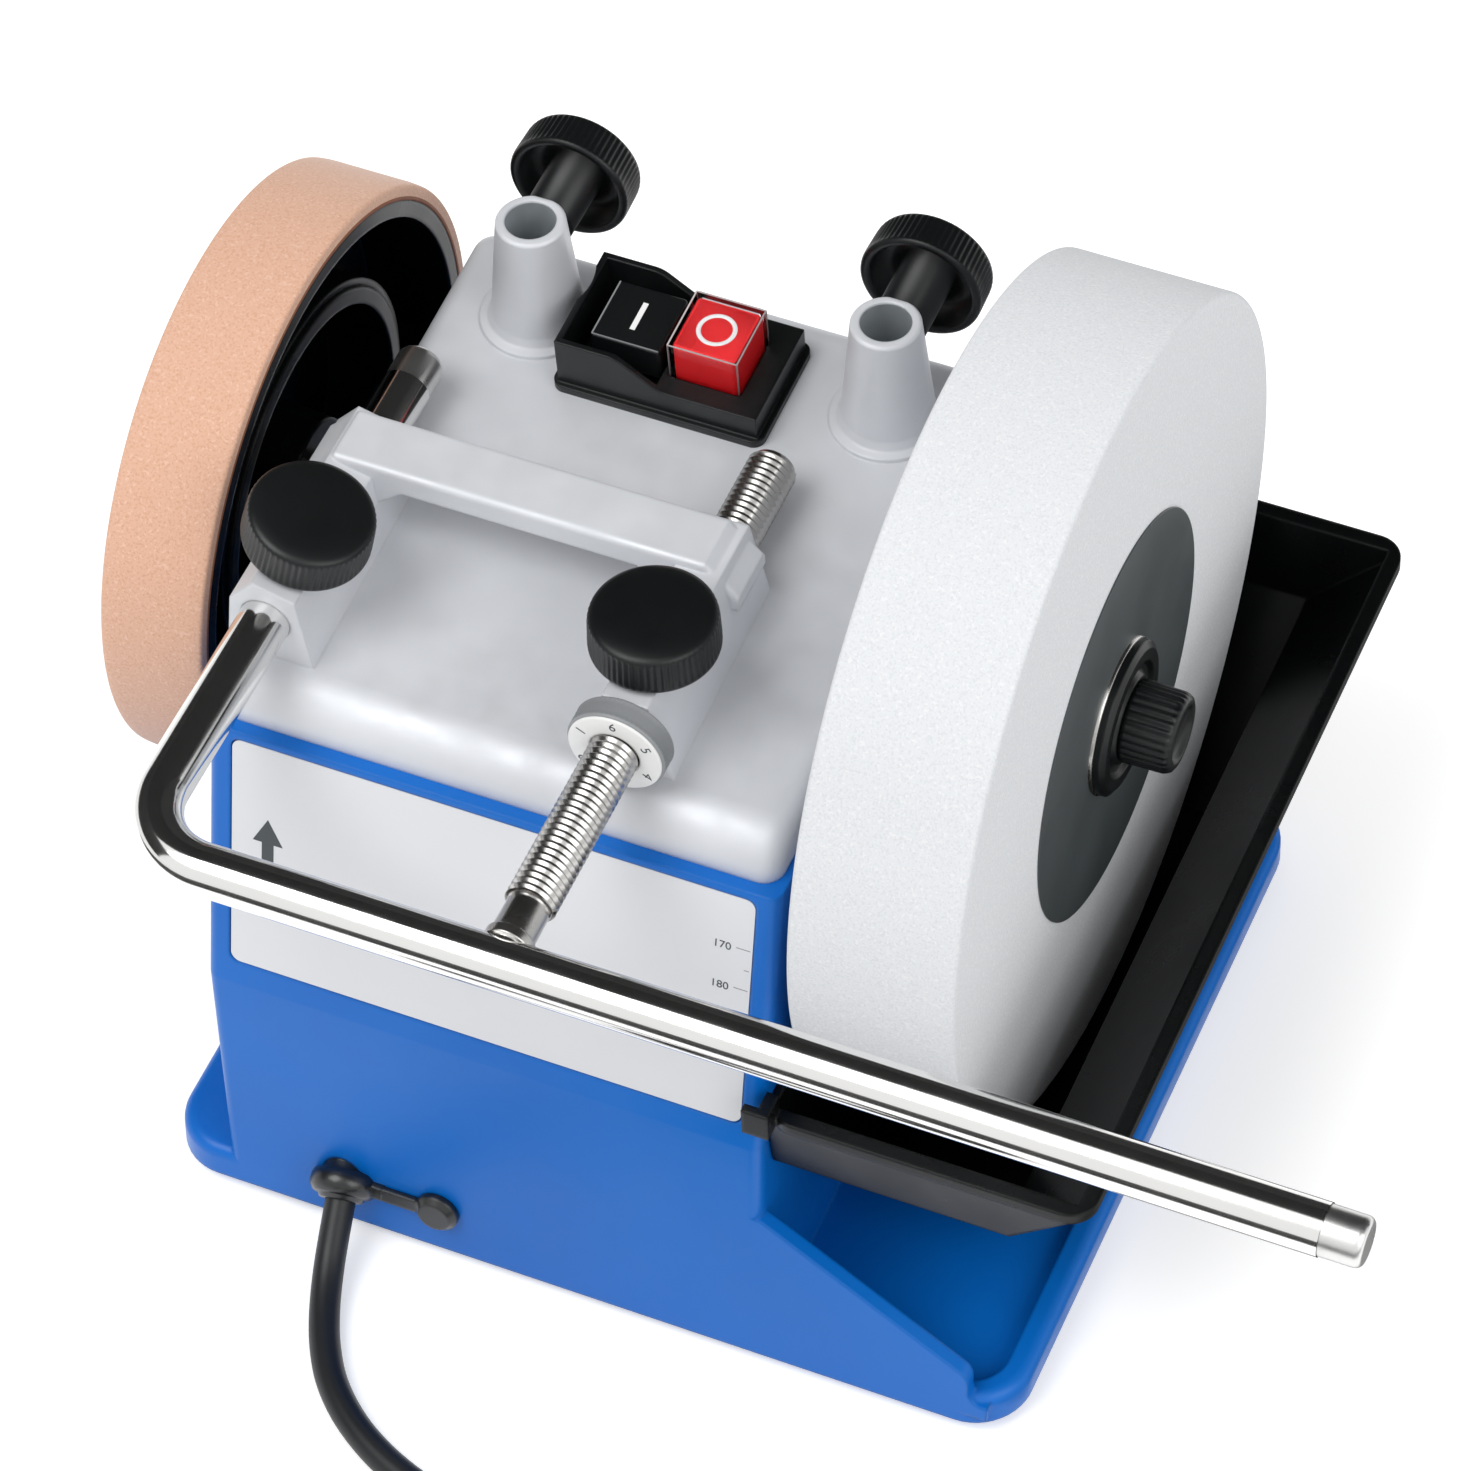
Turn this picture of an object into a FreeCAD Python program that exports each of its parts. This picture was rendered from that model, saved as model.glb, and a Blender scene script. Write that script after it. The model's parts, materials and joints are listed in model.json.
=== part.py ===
"""Wet grinding sharpener: a slow grindstone and a leather honing wheel on one shaft, in millimetres.

+X runs along the shaft from the honing wheel to the stone, +Y points to the back, +Z up.
The origin is the middle of the base, on the surface that the feet stand on.
"""
import FreeCAD, Part
import math
import os
from FreeCAD import Placement, Rotation, Vector

os.makedirs("parts", exist_ok=True)

# Clearances
RUNNING_FIT = 0.05
LOOSE_FIT = 0.1
SMALL_GAP = 0.3

# Base and housing
BASE_WIDTH = 219.0
BASE_DEPTH = 194.0
BASE_HEIGHT = 8.5
BASE_CORNER = 14.0
BASE_EDGE = 3.0
FOOT_HEIGHT = 4.0
FOOT_RADIUS = 9.0
FOOT_INSET = 15.0
HOUSING_LEFT = -94.5
HOUSING_RIGHT = 46.0
HOUSING_TOP = 148.0
HOUSING_REAR = 79.0
HOUSING_CORNER = 3.0
REAR_LEAN = 5.0
LOWER_FRONT_LEAN = 6.1
UPPER_FRONT_LEAN = 13.2
FRONT_KINK = 75.0
SIDE_DRAFT = 2.5
WALL = 3.0
TOP_LEDGE = 8.0
TOP_LEDGE_THICKNESS = 4.0
BOSS_RADIUS = 6.0
BOSS_HEIGHT = 22.0
BOSS_SETBACK = 34.0
COVER_THICKNESS = 2.5
COVER_SCREW_RADIUS = 2.0
COVER_SCREW_HEAD = 3.6
COVER_SCREW_HEAD_HEIGHT = 1.4
COVER_SCREW_LENGTH = 12.0

# Tray under the trough, with its lip and the gusset that braces the front wall
TRAY_LIP = 6.0
TRAY_FLOOR = 3.0
TRAY_CORNER = 9.0
TRAY_HOLLOW = 4.0
GUSSET_THICKNESS = 4.0
GUSSET_TOP = 51.4
GUSSET_END_HEIGHT = 19.9
GUSSET_END = 98.5
GUSSET_ROUNDING = 4.5
GUSSET_FLOW = 4.0

# Front plate
PLATE_LEFT = -88.2
PLATE_RIGHT = 40.5
PLATE_LOW = 6.9
PLATE_HIGH = 72.7
PLATE_CORNER = 2.5
PLATE_THICKNESS = 1.0
PLATE_RECESS = 1.2

# Shaft and what turns on it
AXLE_Y = 19.0
AXLE_Z = 129.0
SHAFT_RADIUS = 6.0
BUSH_RADIUS = 9.0
BUSH_FLANGE_RADIUS = 13.0
BUSH_FLANGE = 2.5
STONE_DIAMETER = 200.0
STONE_WIDTH = 40.0
STONE_FACE = 50.5
STONE_CHAMFER = 1.5
LABEL_RADIUS = 49.5
LABEL_THICKNESS = 0.4
INNER_FLANGE_RADIUS = 18.0
WASHER_RADIUS = 18.7
WASHER_THICKNESS = 3.4
STONE_NUT_RADIUS = 10.0
STONE_NUT_LENGTH = 12.5
STONE_NUT_RIBS = 30
STONE_NUT_RIB_DEPTH = 0.5
HONING_DIAMETER = 145.0
HONING_WIDTH = 26.0
HONING_FACE = -106.5
LEATHER_THICKNESS = 4.0
HONING_RIM = 4.0
HONING_WEB = 3.5
HONING_HUB_RADIUS = 14.0
DRUM_RADIUS = 45.9
DRUM_WALL = 4.0
DRUM_DEPTH = 17.0
DRIVE_RING_THICKNESS = 2.0
HONING_WASHER_RADIUS = 12.0
HONING_WASHER_THICKNESS = 2.0
HONING_NUT_FLATS = 19.0
HONING_NUT_HEIGHT = 8.0

# Motor
ROLLER_RADIUS = 4.0
ROLLER_LENGTH = 11.0
MOTOR_SHAFT_RADIUS = 4.0
ROLLER_NECK_RADIUS = 3.0
MOTOR_LEFT = -70.0
STATOR_LENGTH = 50.0
STATOR_RADIUS = 36.0
ROTOR_RADIUS = 20.0
AIR_GAP = 0.4
WINDING_OUTER = 33.0
WINDING_INNER = 23.0
WINDING_LENGTH = 12.0
MOTOR_PLATE = 3.0
MOTOR_PLATE_GAP = 1.5
MOTOR_PLATE_WIDTH = 56.0
MOTOR_BUSH_RADIUS = 8.0
MOTOR_BUSH_LENGTH = 7.0
SADDLE_WIDTH = 44.0
SHAFT_PASSAGE = 9.0
CAPACITOR_RADIUS = 14.0
CAPACITOR_LENGTH = 46.0
CAPACITOR_SETBACK = 28.0
TERMINAL_SIZE = (28.0, 12.0, 13.0)
TERMINAL_SETBACK = 13.0

# Cast top
CAST_INSET_SIDE = 2.0
CAST_INSET_FRONT = 3.3
CAST_INSET_REAR = 2.0
CAST_WALL = 4.0
CAST_FRONT_HEIGHT = 11.7
CAST_FRONT_RADIUS = 11.0
CAST_REAR_RADIUS = 6.0
CAST_SIDE_RADIUS = 5.0
TOP_SLOPE = 2.7

# Horizontal clamps, the arch that joins them, and the upright sleeves
LEG_LEFT_X = -84.0
LEG_SPACING = 88.4
LEG_RADIUS = 6.0
LEG_Z = 173.0
CLAMP_FRONT = -58.0
CLAMP_REAR = -1.0
CLAMP_FOOT = 10.8
CLAMP_SHOULDER = 8.6
CLAMP_SHOULDER_HEIGHT = 4.2
CLAMP_FACET = 5.5
CLAMP_FACET_HEIGHT = 10.0
CLAMP_DEPTH = 14.0
LEFT_SCREW_TILT = 15.0
RIGHT_SCREW_TILT = 0.0
FRONT_SCREW_Y = -41.0
ARCH_FRONT = -17.5
ARCH_REAR = -2.0
ARCH_TOP = 12.0
ARCH_REACH = 9.5
ARCH_THICKNESS = 6.5
ARCH_CHAMFER = 8.0
ARCH_EDGE = 1.5
SLEEVE_LEFT_X = -68.1
SLEEVE_Y = 55.0
SLEEVE_TOP = 197.4
SLEEVE_TOP_RADIUS = 8.3
SLEEVE_FOOT_RADIUS = 11.0
SLEEVE_FILLET = 3.0
SLEEVE_FLAT = 7.4
SLEEVE_FLAT_HEIGHT = 17.0
SLEEVE_SCREW_DROP = 8.5

# Lock knobs
KNOB_RADIUS = 15.0
KNOB_BAND = 9.7
KNOB_DOME = 1.4
KNOB_RIBS = 60
KNOB_RIB_DEPTH = 0.5
KNOB_HUB_RADIUS = 6.5
KNOB_CUP_DEPTH = 6.0
KNOB_CUP_WALL = 2.5
FRONT_HUB = 1.5
REAR_HUB = 12.5
HUB_GAP = 0.4
STUD_RADIUS = 3.0
STUD_IN_KNOB = 6.0

# Tool support
BAR_Y = -127.0
BAR_END = 201.8
BAR_BEND = 18.0
LEG_END = 26.0
BAR_CHAMFER = 1.2
BAR_TIP = 9.5
BAR_TIP_STEP = 0.2
NECK_RADIUS = 5.0
NECK_LENGTH = 10.0
MICRO_NUT_RADIUS = 11.8
MICRO_NUT_LENGTH = 6.0
MICRO_NUT_RIBS = 48
MICRO_NUT_RIB_DEPTH = 0.3
DIAL_RADIUS = 11.2
DIAL_THICKNESS = 0.6

# Switch
SWITCH_X = -29.8
SWITCH_Y = 51.2
SWITCH_FLANGE = (53.0, 32.0, 2.0)
SWITCH_WIDTH = 50.0
SWITCH_DEPTH = 29.0
SWITCH_HIGH = 16.0
SWITCH_LOW = 8.5
SWITCH_WALL = 1.5
SWITCH_STEP_LEFT = -10.0
SWITCH_STEP_RIGHT = 0.5
SWITCH_STEP_RADIUS = 6.0
SWITCH_DECK = -0.3
SWITCH_SEAT = 0.05
SWITCH_CORNER = 3.0
SWITCH_BOX = (42.0, 26.0, 20.0)
SWITCH_FLOOR = 1.5
ON_X = -9.9
ON_SIZE = 17.4
ON_TOP = 15.0
OFF_X = 9.8
OFF_SIZE = 15.8
OFF_TOP = 18.0
BUTTON_FOOT = 6.0
BUTTON_STROKE = 4.0
STEM_SIZE = 8.0
STEM_LENGTH = 6.0
CAP_WALL = 1.0

# Water trough
TROUGH_LEFT = 46.5
TROUGH_RIGHT = 123.5
TROUGH_SETBACK = 10.0
TROUGH_OVERHANG = 26.0
TROUGH_RIM = 89.0
TROUGH_BOTTOM = 21.0
TROUGH_WALL = 1.8
TROUGH_SHOULDER = 66.0
TROUGH_KNEE = 104.5
TROUGH_DRAFT = 3.0
TROUGH_FLOOR_INSET = 42.0
TROUGH_FLOOR_RIGHT = 98.0
TROUGH_LIP = 2.0
TROUGH_LIP_HEIGHT = 3.3
TROUGH_CORNER = 7.0
EAR_LENGTH = 3.5
EAR_HEIGHT = 3.3
EAR_RISE = 5.0
EAR_ROOT = 3.0
EAR_THICKNESS = 2.2
TROUGH_DROP = 13.7

# Mains lead
CORD_DIAMETER = 7.5
GLAND_X = -61.5
GLAND_Z = 19.0
GLAND_DEPTH = 2.4
GLAND_DIRECTION = Vector(0.13, -0.855, -0.50)
GLAND_RADIUS = 9.0
GLAND_NECK_RADIUS = 5.4
GLAND_LENGTH = 17.0
STRAP_REACH = 25.0
STRAP_WIDTH = 4.0
STRAP_THICKNESS = 1.4
STRAP_DISC_RADIUS = 5.5
COIL_X = 32.0
COIL_AHEAD = 121.0
COIL_OUTER = 53.0
COIL_GAP = 0.5
COIL_LIFT = 1.3
COIL_TURNS_PER_LAYER = 3
TIE_WIDTH = 9.0
TIE_THICKNESS = 0.9
TIE_ANGLE = 35.0
PLUG_RADIUS = 18.5
PLUG_FACE_RADIUS = 17.0
PLUG_FACE_LENGTH = 10.0
PLUG_FLANGE_LENGTH = 6.0
PLUG_GRIP_RADIUS = 12.0
PLUG_GRIP_LENGTH = 20.0
PLUG_BOOT_LENGTH = 24.0
PLUG_BOOT_RADIUS = 5.0
PIN_RADIUS = 2.4
PIN_LENGTH = 19.0
PIN_SPACING = 19.0

AXIS_X = Vector(1, 0, 0)
AXIS_Y = Vector(0, 1, 0)
AXIS_Z = Vector(0, 0, 1)
THROUGH = 400.0


def save(node, shape):
    """Write one sub-part as its own STEP file."""
    shape.exportStep("parts/" + node + ".step")


def block(x0, x1, y0, y1, z0, z1):
    return Part.makeBox(x1 - x0, y1 - y0, z1 - z0, Vector(x0, y0, z0))


def rod(start, axis, radius, length):
    return Part.makeCylinder(radius, length, start, axis)


def ring(start, axis, outer, inner, length):
    return rod(start, axis, outer, length).cut(rod(start, axis, inner, length))


def prism(points, along):
    return Part.Face(Part.makePolygon(points + points[:1])).extrude(along)


def prism_x(profile, x0, x1):
    """A (y, z) outline drawn out from x0 to x1."""
    return prism([Vector(x0, y, z) for y, z in profile], Vector(x1 - x0, 0, 0))


def prism_y(profile, y0, y1):
    """An (x, z) outline drawn out from y0 to y1."""
    return prism([Vector(x, y0, z) for x, z in profile], Vector(0, y1 - y0, 0))


def prism_z(profile, z0, z1):
    """An (x, y) outline drawn out from z0 to z1."""
    return prism([Vector(x, y, z0) for x, y in profile], Vector(0, 0, z1 - z0))


def turned_x(profile):
    """An (x, radius) outline turned about the axle."""
    points = [Vector(x, AXLE_Y, AXLE_Z + radius) for x, radius in profile]
    face = Part.Face(Part.makePolygon(points + points[:1]))
    return face.revolve(Vector(0, AXLE_Y, AXLE_Z), AXIS_X, 360)


def turned_z(profile):
    """A (radius, z) outline turned about the local Z axis."""
    points = [Vector(radius, 0, z) for radius, z in profile]
    face = Part.Face(Part.makePolygon(points + points[:1]))
    return face.revolve(Vector(0, 0, 0), AXIS_Z, 360)


def serrated(radius, depth, ribs):
    """Outline of a ribbed edge, as (x, y) points."""
    step = 2 * math.pi / ribs
    points = []
    for rib in range(ribs):
        for share, reach in ((0.1, radius - depth), (0.3, radius), (0.7, radius), (0.9, radius - depth)):
            angle = (rib + share) * step
            points.append((reach * math.cos(angle), reach * math.sin(angle)))
    return points


def rises(edge):
    return abs(edge.Vertexes[0].Z - edge.Vertexes[-1].Z) > 1e-6


def rounded_block(width, depth, z0, z1, corner):
    """A block centred on the local Z axis with rounded upright edges."""
    shape = block(-width / 2, width / 2, -depth / 2, depth / 2, z0, z1)
    return shape.makeFillet(corner, [edge for edge in shape.Edges if rises(edge)])


def along(point, direction):
    """Placement that sets the local Z axis along a direction from a point."""
    return Placement(point, Rotation(AXIS_Z, direction))


def placed(shape, placement):
    moved = shape.copy()
    moved.Placement = placement.multiply(moved.Placement)
    return moved


def sloped(degrees):
    return math.tan(math.radians(degrees))


BASE_FRONT = -BASE_DEPTH / 2
TROUGH_FRONT = BASE_FRONT + TROUGH_SETBACK
TROUGH_REAR = BASE_DEPTH / 2 + TROUGH_OVERHANG
BASE_TOP = FOOT_HEIGHT + BASE_HEIGHT
KINK_Y = BASE_FRONT + (FRONT_KINK - FOOT_HEIGHT) * sloped(LOWER_FRONT_LEAN)
FRONT_TOP_Y = KINK_Y + (HOUSING_TOP - FRONT_KINK) * sloped(UPPER_FRONT_LEAN)


def front_y(z):
    """The front face of the housing at a height."""
    if z < FRONT_KINK:
        return KINK_Y - (FRONT_KINK - z) * sloped(LOWER_FRONT_LEAN)
    return KINK_Y + (z - FRONT_KINK) * sloped(UPPER_FRONT_LEAN)


def rear_y(z):
    """The rear face of the housing at a height."""
    return HOUSING_REAR + (HOUSING_TOP - z) * sloped(REAR_LEAN)


# The cast top rises slightly from front to back
CAST_FRONT = FRONT_TOP_Y + CAST_INSET_FRONT
CAST_REAR = HOUSING_REAR - CAST_INSET_REAR
CAST_LEFT = HOUSING_LEFT + CAST_INSET_SIDE
CAST_RIGHT = HOUSING_RIGHT - CAST_INSET_SIDE


def cast_top(y):
    """The top face of the casting at a depth."""
    return HOUSING_TOP + CAST_FRONT_HEIGHT + (y - CAST_FRONT) * sloped(TOP_SLOPE)


GLAND_POINT = Vector(GLAND_X, front_y(GLAND_Z) + GLAND_DEPTH, GLAND_Z)
COIL_CENTRE = Vector(COIL_X, BASE_FRONT - COIL_AHEAD, 0)
LEG_RIGHT_X = LEG_LEFT_X + LEG_SPACING
SLEEVE_RIGHT_X = SLEEVE_LEFT_X + LEG_SPACING
LEG_BORE = LEG_RADIUS + RUNNING_FIT
STUD_BORE = STUD_RADIUS + RUNNING_FIT
MOTOR_Y = AXLE_Y
DRIVE_RADIUS = DRUM_RADIUS + DRIVE_RING_THICKNESS
MOTOR_Z = AXLE_Z - DRIVE_RADIUS - ROLLER_RADIUS - SMALL_GAP
MOTOR_RIGHT = MOTOR_LEFT + STATOR_LENGTH


def housing_profile(inset, low, high):
    """The housing's side outline, moved inwards by a wall."""
    heights = [low, FRONT_KINK, high]
    front = [(front_y(z) + inset, z) for z in heights]
    return front + [(rear_y(high) - inset, high), (rear_y(low) - inset, low)]


def housing_form(inset, low, high):
    """The housing's outer or inner form, drawn in at the foot of its left side."""
    body = prism_x(housing_profile(inset, low, high), HOUSING_LEFT + inset, HOUSING_RIGHT - inset)
    per_height = SIDE_DRAFT / (FRONT_KINK - FOOT_HEIGHT)
    foot = HOUSING_LEFT + inset + per_height * (FRONT_KINK - low)
    outline = [
        (foot, low),
        (HOUSING_LEFT + inset, FRONT_KINK),
        (HOUSING_LEFT + inset, high),
        (HOUSING_RIGHT, high),
        (HOUSING_RIGHT, low),
    ]
    return body.common(prism_y(outline, -THROUGH, THROUGH))


def boss_points():
    """Corners inside the housing where the bottom cover is screwed on."""
    z = FOOT_HEIGHT
    offset = WALL + BOSS_RADIUS - 1.0
    xs = (HOUSING_LEFT + SIDE_DRAFT + offset, HOUSING_RIGHT - offset)
    ys = (front_y(z) + BOSS_SETBACK, rear_y(z) - BOSS_SETBACK)
    return [Vector(x, y, z) for x in xs for y in ys]


def plinth():
    """The flared base, with rounded corners and a rounded top edge."""
    rear = BASE_DEPTH / 2
    profile = [
        (BASE_FRONT, FOOT_HEIGHT),
        (front_y(BASE_TOP), BASE_TOP),
        (rear, BASE_TOP),
        (rear, FOOT_HEIGHT),
    ]
    shape = prism_x(profile, -BASE_WIDTH / 2, BASE_WIDTH / 2)
    shape = shape.makeFillet(BASE_CORNER, [edge for edge in shape.Edges if rises(edge)])
    rim = [edge for edge in shape.Edges if edge.BoundBox.ZMin > BASE_TOP - 1e-3]
    return shape.makeFillet(BASE_EDGE, rim)


def tray_pocket():
    """The hollow of the tray to the right of the housing, its left corners hidden under the housing."""
    left = HOUSING_RIGHT - TRAY_CORNER
    right = BASE_WIDTH / 2 - TRAY_LIP
    front = BASE_FRONT + TRAY_LIP
    rear = BASE_DEPTH / 2 - TRAY_LIP
    shape = rounded_block(right - left, rear - front, 0, BASE_HEIGHT, TRAY_CORNER)
    floor = [edge for edge in shape.Edges if edge.BoundBox.ZMax < 1e-3]
    shape = shape.makeFillet(TRAY_HOLLOW, floor)
    shape.translate(Vector((left + right) / 2, (front + rear) / 2, FOOT_HEIGHT + TRAY_FLOOR))
    return shape


def gusset():
    """The sloping brace from the front wall, with a hooked end that flows into the lip of the tray."""
    foot = FOOT_HEIGHT + TRAY_FLOOR
    toe = GUSSET_END + GUSSET_FLOW + 1
    outline = [
        (HOUSING_RIGHT - WALL, foot),
        (HOUSING_RIGHT - WALL, GUSSET_TOP),
        (HOUSING_RIGHT, GUSSET_TOP),
        (GUSSET_END, GUSSET_END_HEIGHT),
        (GUSSET_END, BASE_TOP - BASE_EDGE / 2),
        (toe, BASE_TOP - BASE_EDGE / 2),
        (toe, foot),
    ]
    sheet = prism_y(outline, BASE_FRONT - 5, BASE_FRONT + 30)
    for height, radius in ((GUSSET_END_HEIGHT, GUSSET_ROUNDING), (BASE_TOP - BASE_EDGE / 2, GUSSET_FLOW)):
        edges = [
            edge for edge in sheet.Edges
            if edge.BoundBox.YLength > 30
            and abs(edge.BoundBox.XMin - GUSSET_END) < 1e-3 and abs(edge.BoundBox.ZMin - height) < 1e-3
        ]
        sheet = sheet.makeFillet(radius, edges)
    slab = [(front_y(z), z) for z in (FOOT_HEIGHT, FRONT_KINK)]
    slab += [(front_y(z) + GUSSET_THICKNESS, z) for z in (FRONT_KINK, FOOT_HEIGHT)]
    return sheet.common(prism_x(slab, HOUSING_LEFT, BASE_WIDTH / 2))


def plate_frame():
    """Placement of the upper front face: local X across, local Y up the slope, local Z outwards."""
    turn = Rotation(AXIS_X, 90 - UPPER_FRONT_LEAN)
    return Placement(Vector((PLATE_LEFT + PLATE_RIGHT) / 2, KINK_Y, FRONT_KINK), turn)


def plate_solid(gap, z0, z1):
    shape = rounded_block(PLATE_RIGHT - PLATE_LEFT + 2 * gap, PLATE_HIGH - PLATE_LOW + 2 * gap, z0, z1, PLATE_CORNER)
    shape.translate(Vector(0, (PLATE_LOW + PLATE_HIGH) / 2, 0))
    return placed(shape, plate_frame())


def make_housing():
    body = housing_form(0, FOOT_HEIGHT, HOUSING_TOP)
    corners = [edge for edge in body.Edges if rises(edge) and edge.Length > FRONT_KINK / 2]
    body = body.makeFillet(HOUSING_CORNER, corners)
    shell = body.fuse(plinth().cut(tray_pocket())).fuse(gusset())
    shell = shell.cut(housing_form(WALL, 0, HOUSING_TOP - TOP_LEDGE_THICKNESS))
    ledge = housing_profile(TOP_LEDGE, FRONT_KINK, HOUSING_TOP + 1)[1:]
    shell = shell.cut(prism_x(ledge, HOUSING_LEFT + TOP_LEDGE, HOUSING_RIGHT - TOP_LEDGE))
    inside = housing_form(WALL / 2, FOOT_HEIGHT, HOUSING_TOP)
    for point in boss_points():
        start = point + Vector(0, 0, COVER_THICKNESS)
        shell = shell.fuse(rod(start, AXIS_Z, BOSS_RADIUS, BOSS_HEIGHT).common(inside))
        shell = shell.cut(rod(start, AXIS_Z, COVER_SCREW_RADIUS + LOOSE_FIT, COVER_SCREW_LENGTH))
    for x in (HOUSING_LEFT, HOUSING_RIGHT - WALL):
        shell = shell.cut(rod(Vector(x, AXLE_Y, AXLE_Z), AXIS_X, BUSH_RADIUS + LOOSE_FIT, WALL))
    shell = shell.cut(rod(Vector(HOUSING_LEFT, MOTOR_Y, MOTOR_Z), AXIS_X, SHAFT_PASSAGE, WALL + SIDE_DRAFT))
    shell = shell.cut(rod(GLAND_POINT, GLAND_DIRECTION, GLAND_NECK_RADIUS + LOOSE_FIT, GLAND_LENGTH))
    shell = shell.cut(rod(GLAND_POINT, -GLAND_DIRECTION, GLAND_NECK_RADIUS + LOOSE_FIT, GLAND_LENGTH))
    shell = shell.cut(plate_solid(SMALL_GAP, -PLATE_RECESS, PLATE_RECESS))
    return shell.removeSplitter()


def make_bottom_cover():
    low = FOOT_HEIGHT
    layer = block(-THROUGH, THROUGH, -THROUGH, THROUGH, low, low + COVER_THICKNESS)
    cover = housing_form(WALL + SMALL_GAP, low, HOUSING_TOP).common(layer)
    for point in boss_points():
        cover = cover.cut(rod(point, AXIS_Z, COVER_SCREW_RADIUS + LOOSE_FIT, COVER_THICKNESS))
        cover = cover.cut(rod(point, AXIS_Z, COVER_SCREW_HEAD + LOOSE_FIT, COVER_SCREW_HEAD_HEIGHT))
    return cover


def make_cover_screws():
    screws = []
    for point in boss_points():
        head = rod(point, AXIS_Z, COVER_SCREW_HEAD, COVER_SCREW_HEAD_HEIGHT)
        screws.append(head.fuse(rod(point, AXIS_Z, COVER_SCREW_RADIUS, COVER_SCREW_LENGTH)).removeSplitter())
    return Part.makeCompound(screws)


def make_feet():
    x = BASE_WIDTH / 2 - FOOT_INSET
    y = BASE_DEPTH / 2 - FOOT_INSET
    profile = [(0, 0), (FOOT_RADIUS - 1, 0), (FOOT_RADIUS, 1), (FOOT_RADIUS, FOOT_HEIGHT), (0, FOOT_HEIGHT)]
    foot = turned_z(profile)
    places = [Vector(sx * x, sy * y, 0) for sx in (-1, 1) for sy in (-1, 1)]
    return Part.makeCompound([placed(foot, Placement(place, Rotation())) for place in places])


def cast_profile():
    """Side outline of the casting, with a large rounded front edge."""
    front = Vector(0, CAST_FRONT, HOUSING_TOP)
    high_front = Vector(0, CAST_FRONT, cast_top(CAST_FRONT))
    high_rear = Vector(0, CAST_REAR, cast_top(CAST_REAR))
    rear = Vector(0, CAST_REAR, HOUSING_TOP)
    shape = Part.Face(Part.makePolygon([front, high_front, high_rear, rear, front]))
    return shape.extrude(Vector(CAST_RIGHT - CAST_LEFT, 0, 0))


def cast_shell():
    shape = cast_profile()
    shape.translate(Vector(CAST_LEFT, 0, 0))
    across = [edge for edge in shape.Edges if edge.BoundBox.XLength > 1 and edge.BoundBox.ZMin > HOUSING_TOP + 1]
    front = [edge for edge in across if edge.BoundBox.YMax < 0]
    shape = shape.makeFillet(CAST_FRONT_RADIUS, front)
    across = [edge for edge in shape.Edges if edge.BoundBox.XLength > 1 and edge.BoundBox.ZMin > HOUSING_TOP + 1]
    rear = [edge for edge in across if edge.BoundBox.YMin > CAST_REAR - 1]
    shape = shape.makeFillet(CAST_REAR_RADIUS, rear)
    sides = [
        edge for edge in shape.Edges
        if edge.BoundBox.XLength < 1e-6 and edge.BoundBox.ZMax > HOUSING_TOP + 1e-3
    ]
    shape = shape.makeFillet(CAST_SIDE_RADIUS, sides)
    front_in = CAST_FRONT + CAST_WALL
    rear_in = CAST_REAR - CAST_WALL
    bend = CAST_FRONT + CAST_FRONT_RADIUS
    hollow = [
        (front_in, HOUSING_TOP - 1),
        (front_in, HOUSING_TOP + 2),
        (bend, cast_top(bend) - CAST_WALL),
        (rear_in - CAST_REAR_RADIUS, cast_top(rear_in - CAST_REAR_RADIUS) - CAST_WALL),
        (rear_in, cast_top(rear_in) - CAST_WALL - CAST_REAR_RADIUS),
        (rear_in, HOUSING_TOP - 1),
    ]
    return shape.cut(prism_x(hollow, CAST_LEFT + CAST_WALL, CAST_RIGHT - CAST_WALL))


def clamp_block(x, tilt):
    """A clamp that a leg of the support slides through, with a facet square to its screw."""
    lean = math.radians(tilt)
    top = (CLAMP_FACET_HEIGHT * math.sin(lean), CLAMP_FACET_HEIGHT * math.cos(lean))
    half = (CLAMP_FACET * math.cos(lean), -CLAMP_FACET * math.sin(lean))
    shoulder = [(-CLAMP_SHOULDER, CLAMP_SHOULDER_HEIGHT)] if tilt else []
    outline = [
        (-CLAMP_FOOT, -CLAMP_DEPTH),
        *shoulder,
        (top[0] - half[0], top[1] - half[1]),
        (top[0] + half[0], top[1] + half[1]),
        (CLAMP_FOOT, -CLAMP_DEPTH),
    ]
    return prism_y([(x + px, LEG_Z + pz) for px, pz in outline], CLAMP_FRONT, CLAMP_REAR)


def arch():
    """The flat bar that bridges the two clamps and leaves a finger gap below."""
    left = LEG_LEFT_X - ARCH_REACH
    right = LEG_RIGHT_X + ARCH_REACH
    inner_left = LEG_LEFT_X + CLAMP_SHOULDER
    inner_right = LEG_RIGHT_X - CLAMP_SHOULDER
    top = LEG_Z + ARCH_TOP
    under = top - ARCH_THICKNESS
    outline = [
        (left, LEG_Z),
        (left, top - ARCH_CHAMFER),
        (left + ARCH_CHAMFER, top),
        (right - ARCH_CHAMFER, top),
        (right, top - ARCH_CHAMFER),
        (right, LEG_Z),
        (inner_right, LEG_Z),
        (inner_right - ARCH_THICKNESS, under),
        (inner_left + ARCH_THICKNESS, under),
        (inner_left, LEG_Z),
    ]
    shape = prism_y(outline, ARCH_FRONT, ARCH_REAR)
    upper = [edge for edge in shape.Edges if edge.BoundBox.XLength > 1 and edge.BoundBox.ZMax > top - 1e-3]
    return shape.makeFillet(ARCH_EDGE, upper)


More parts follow.
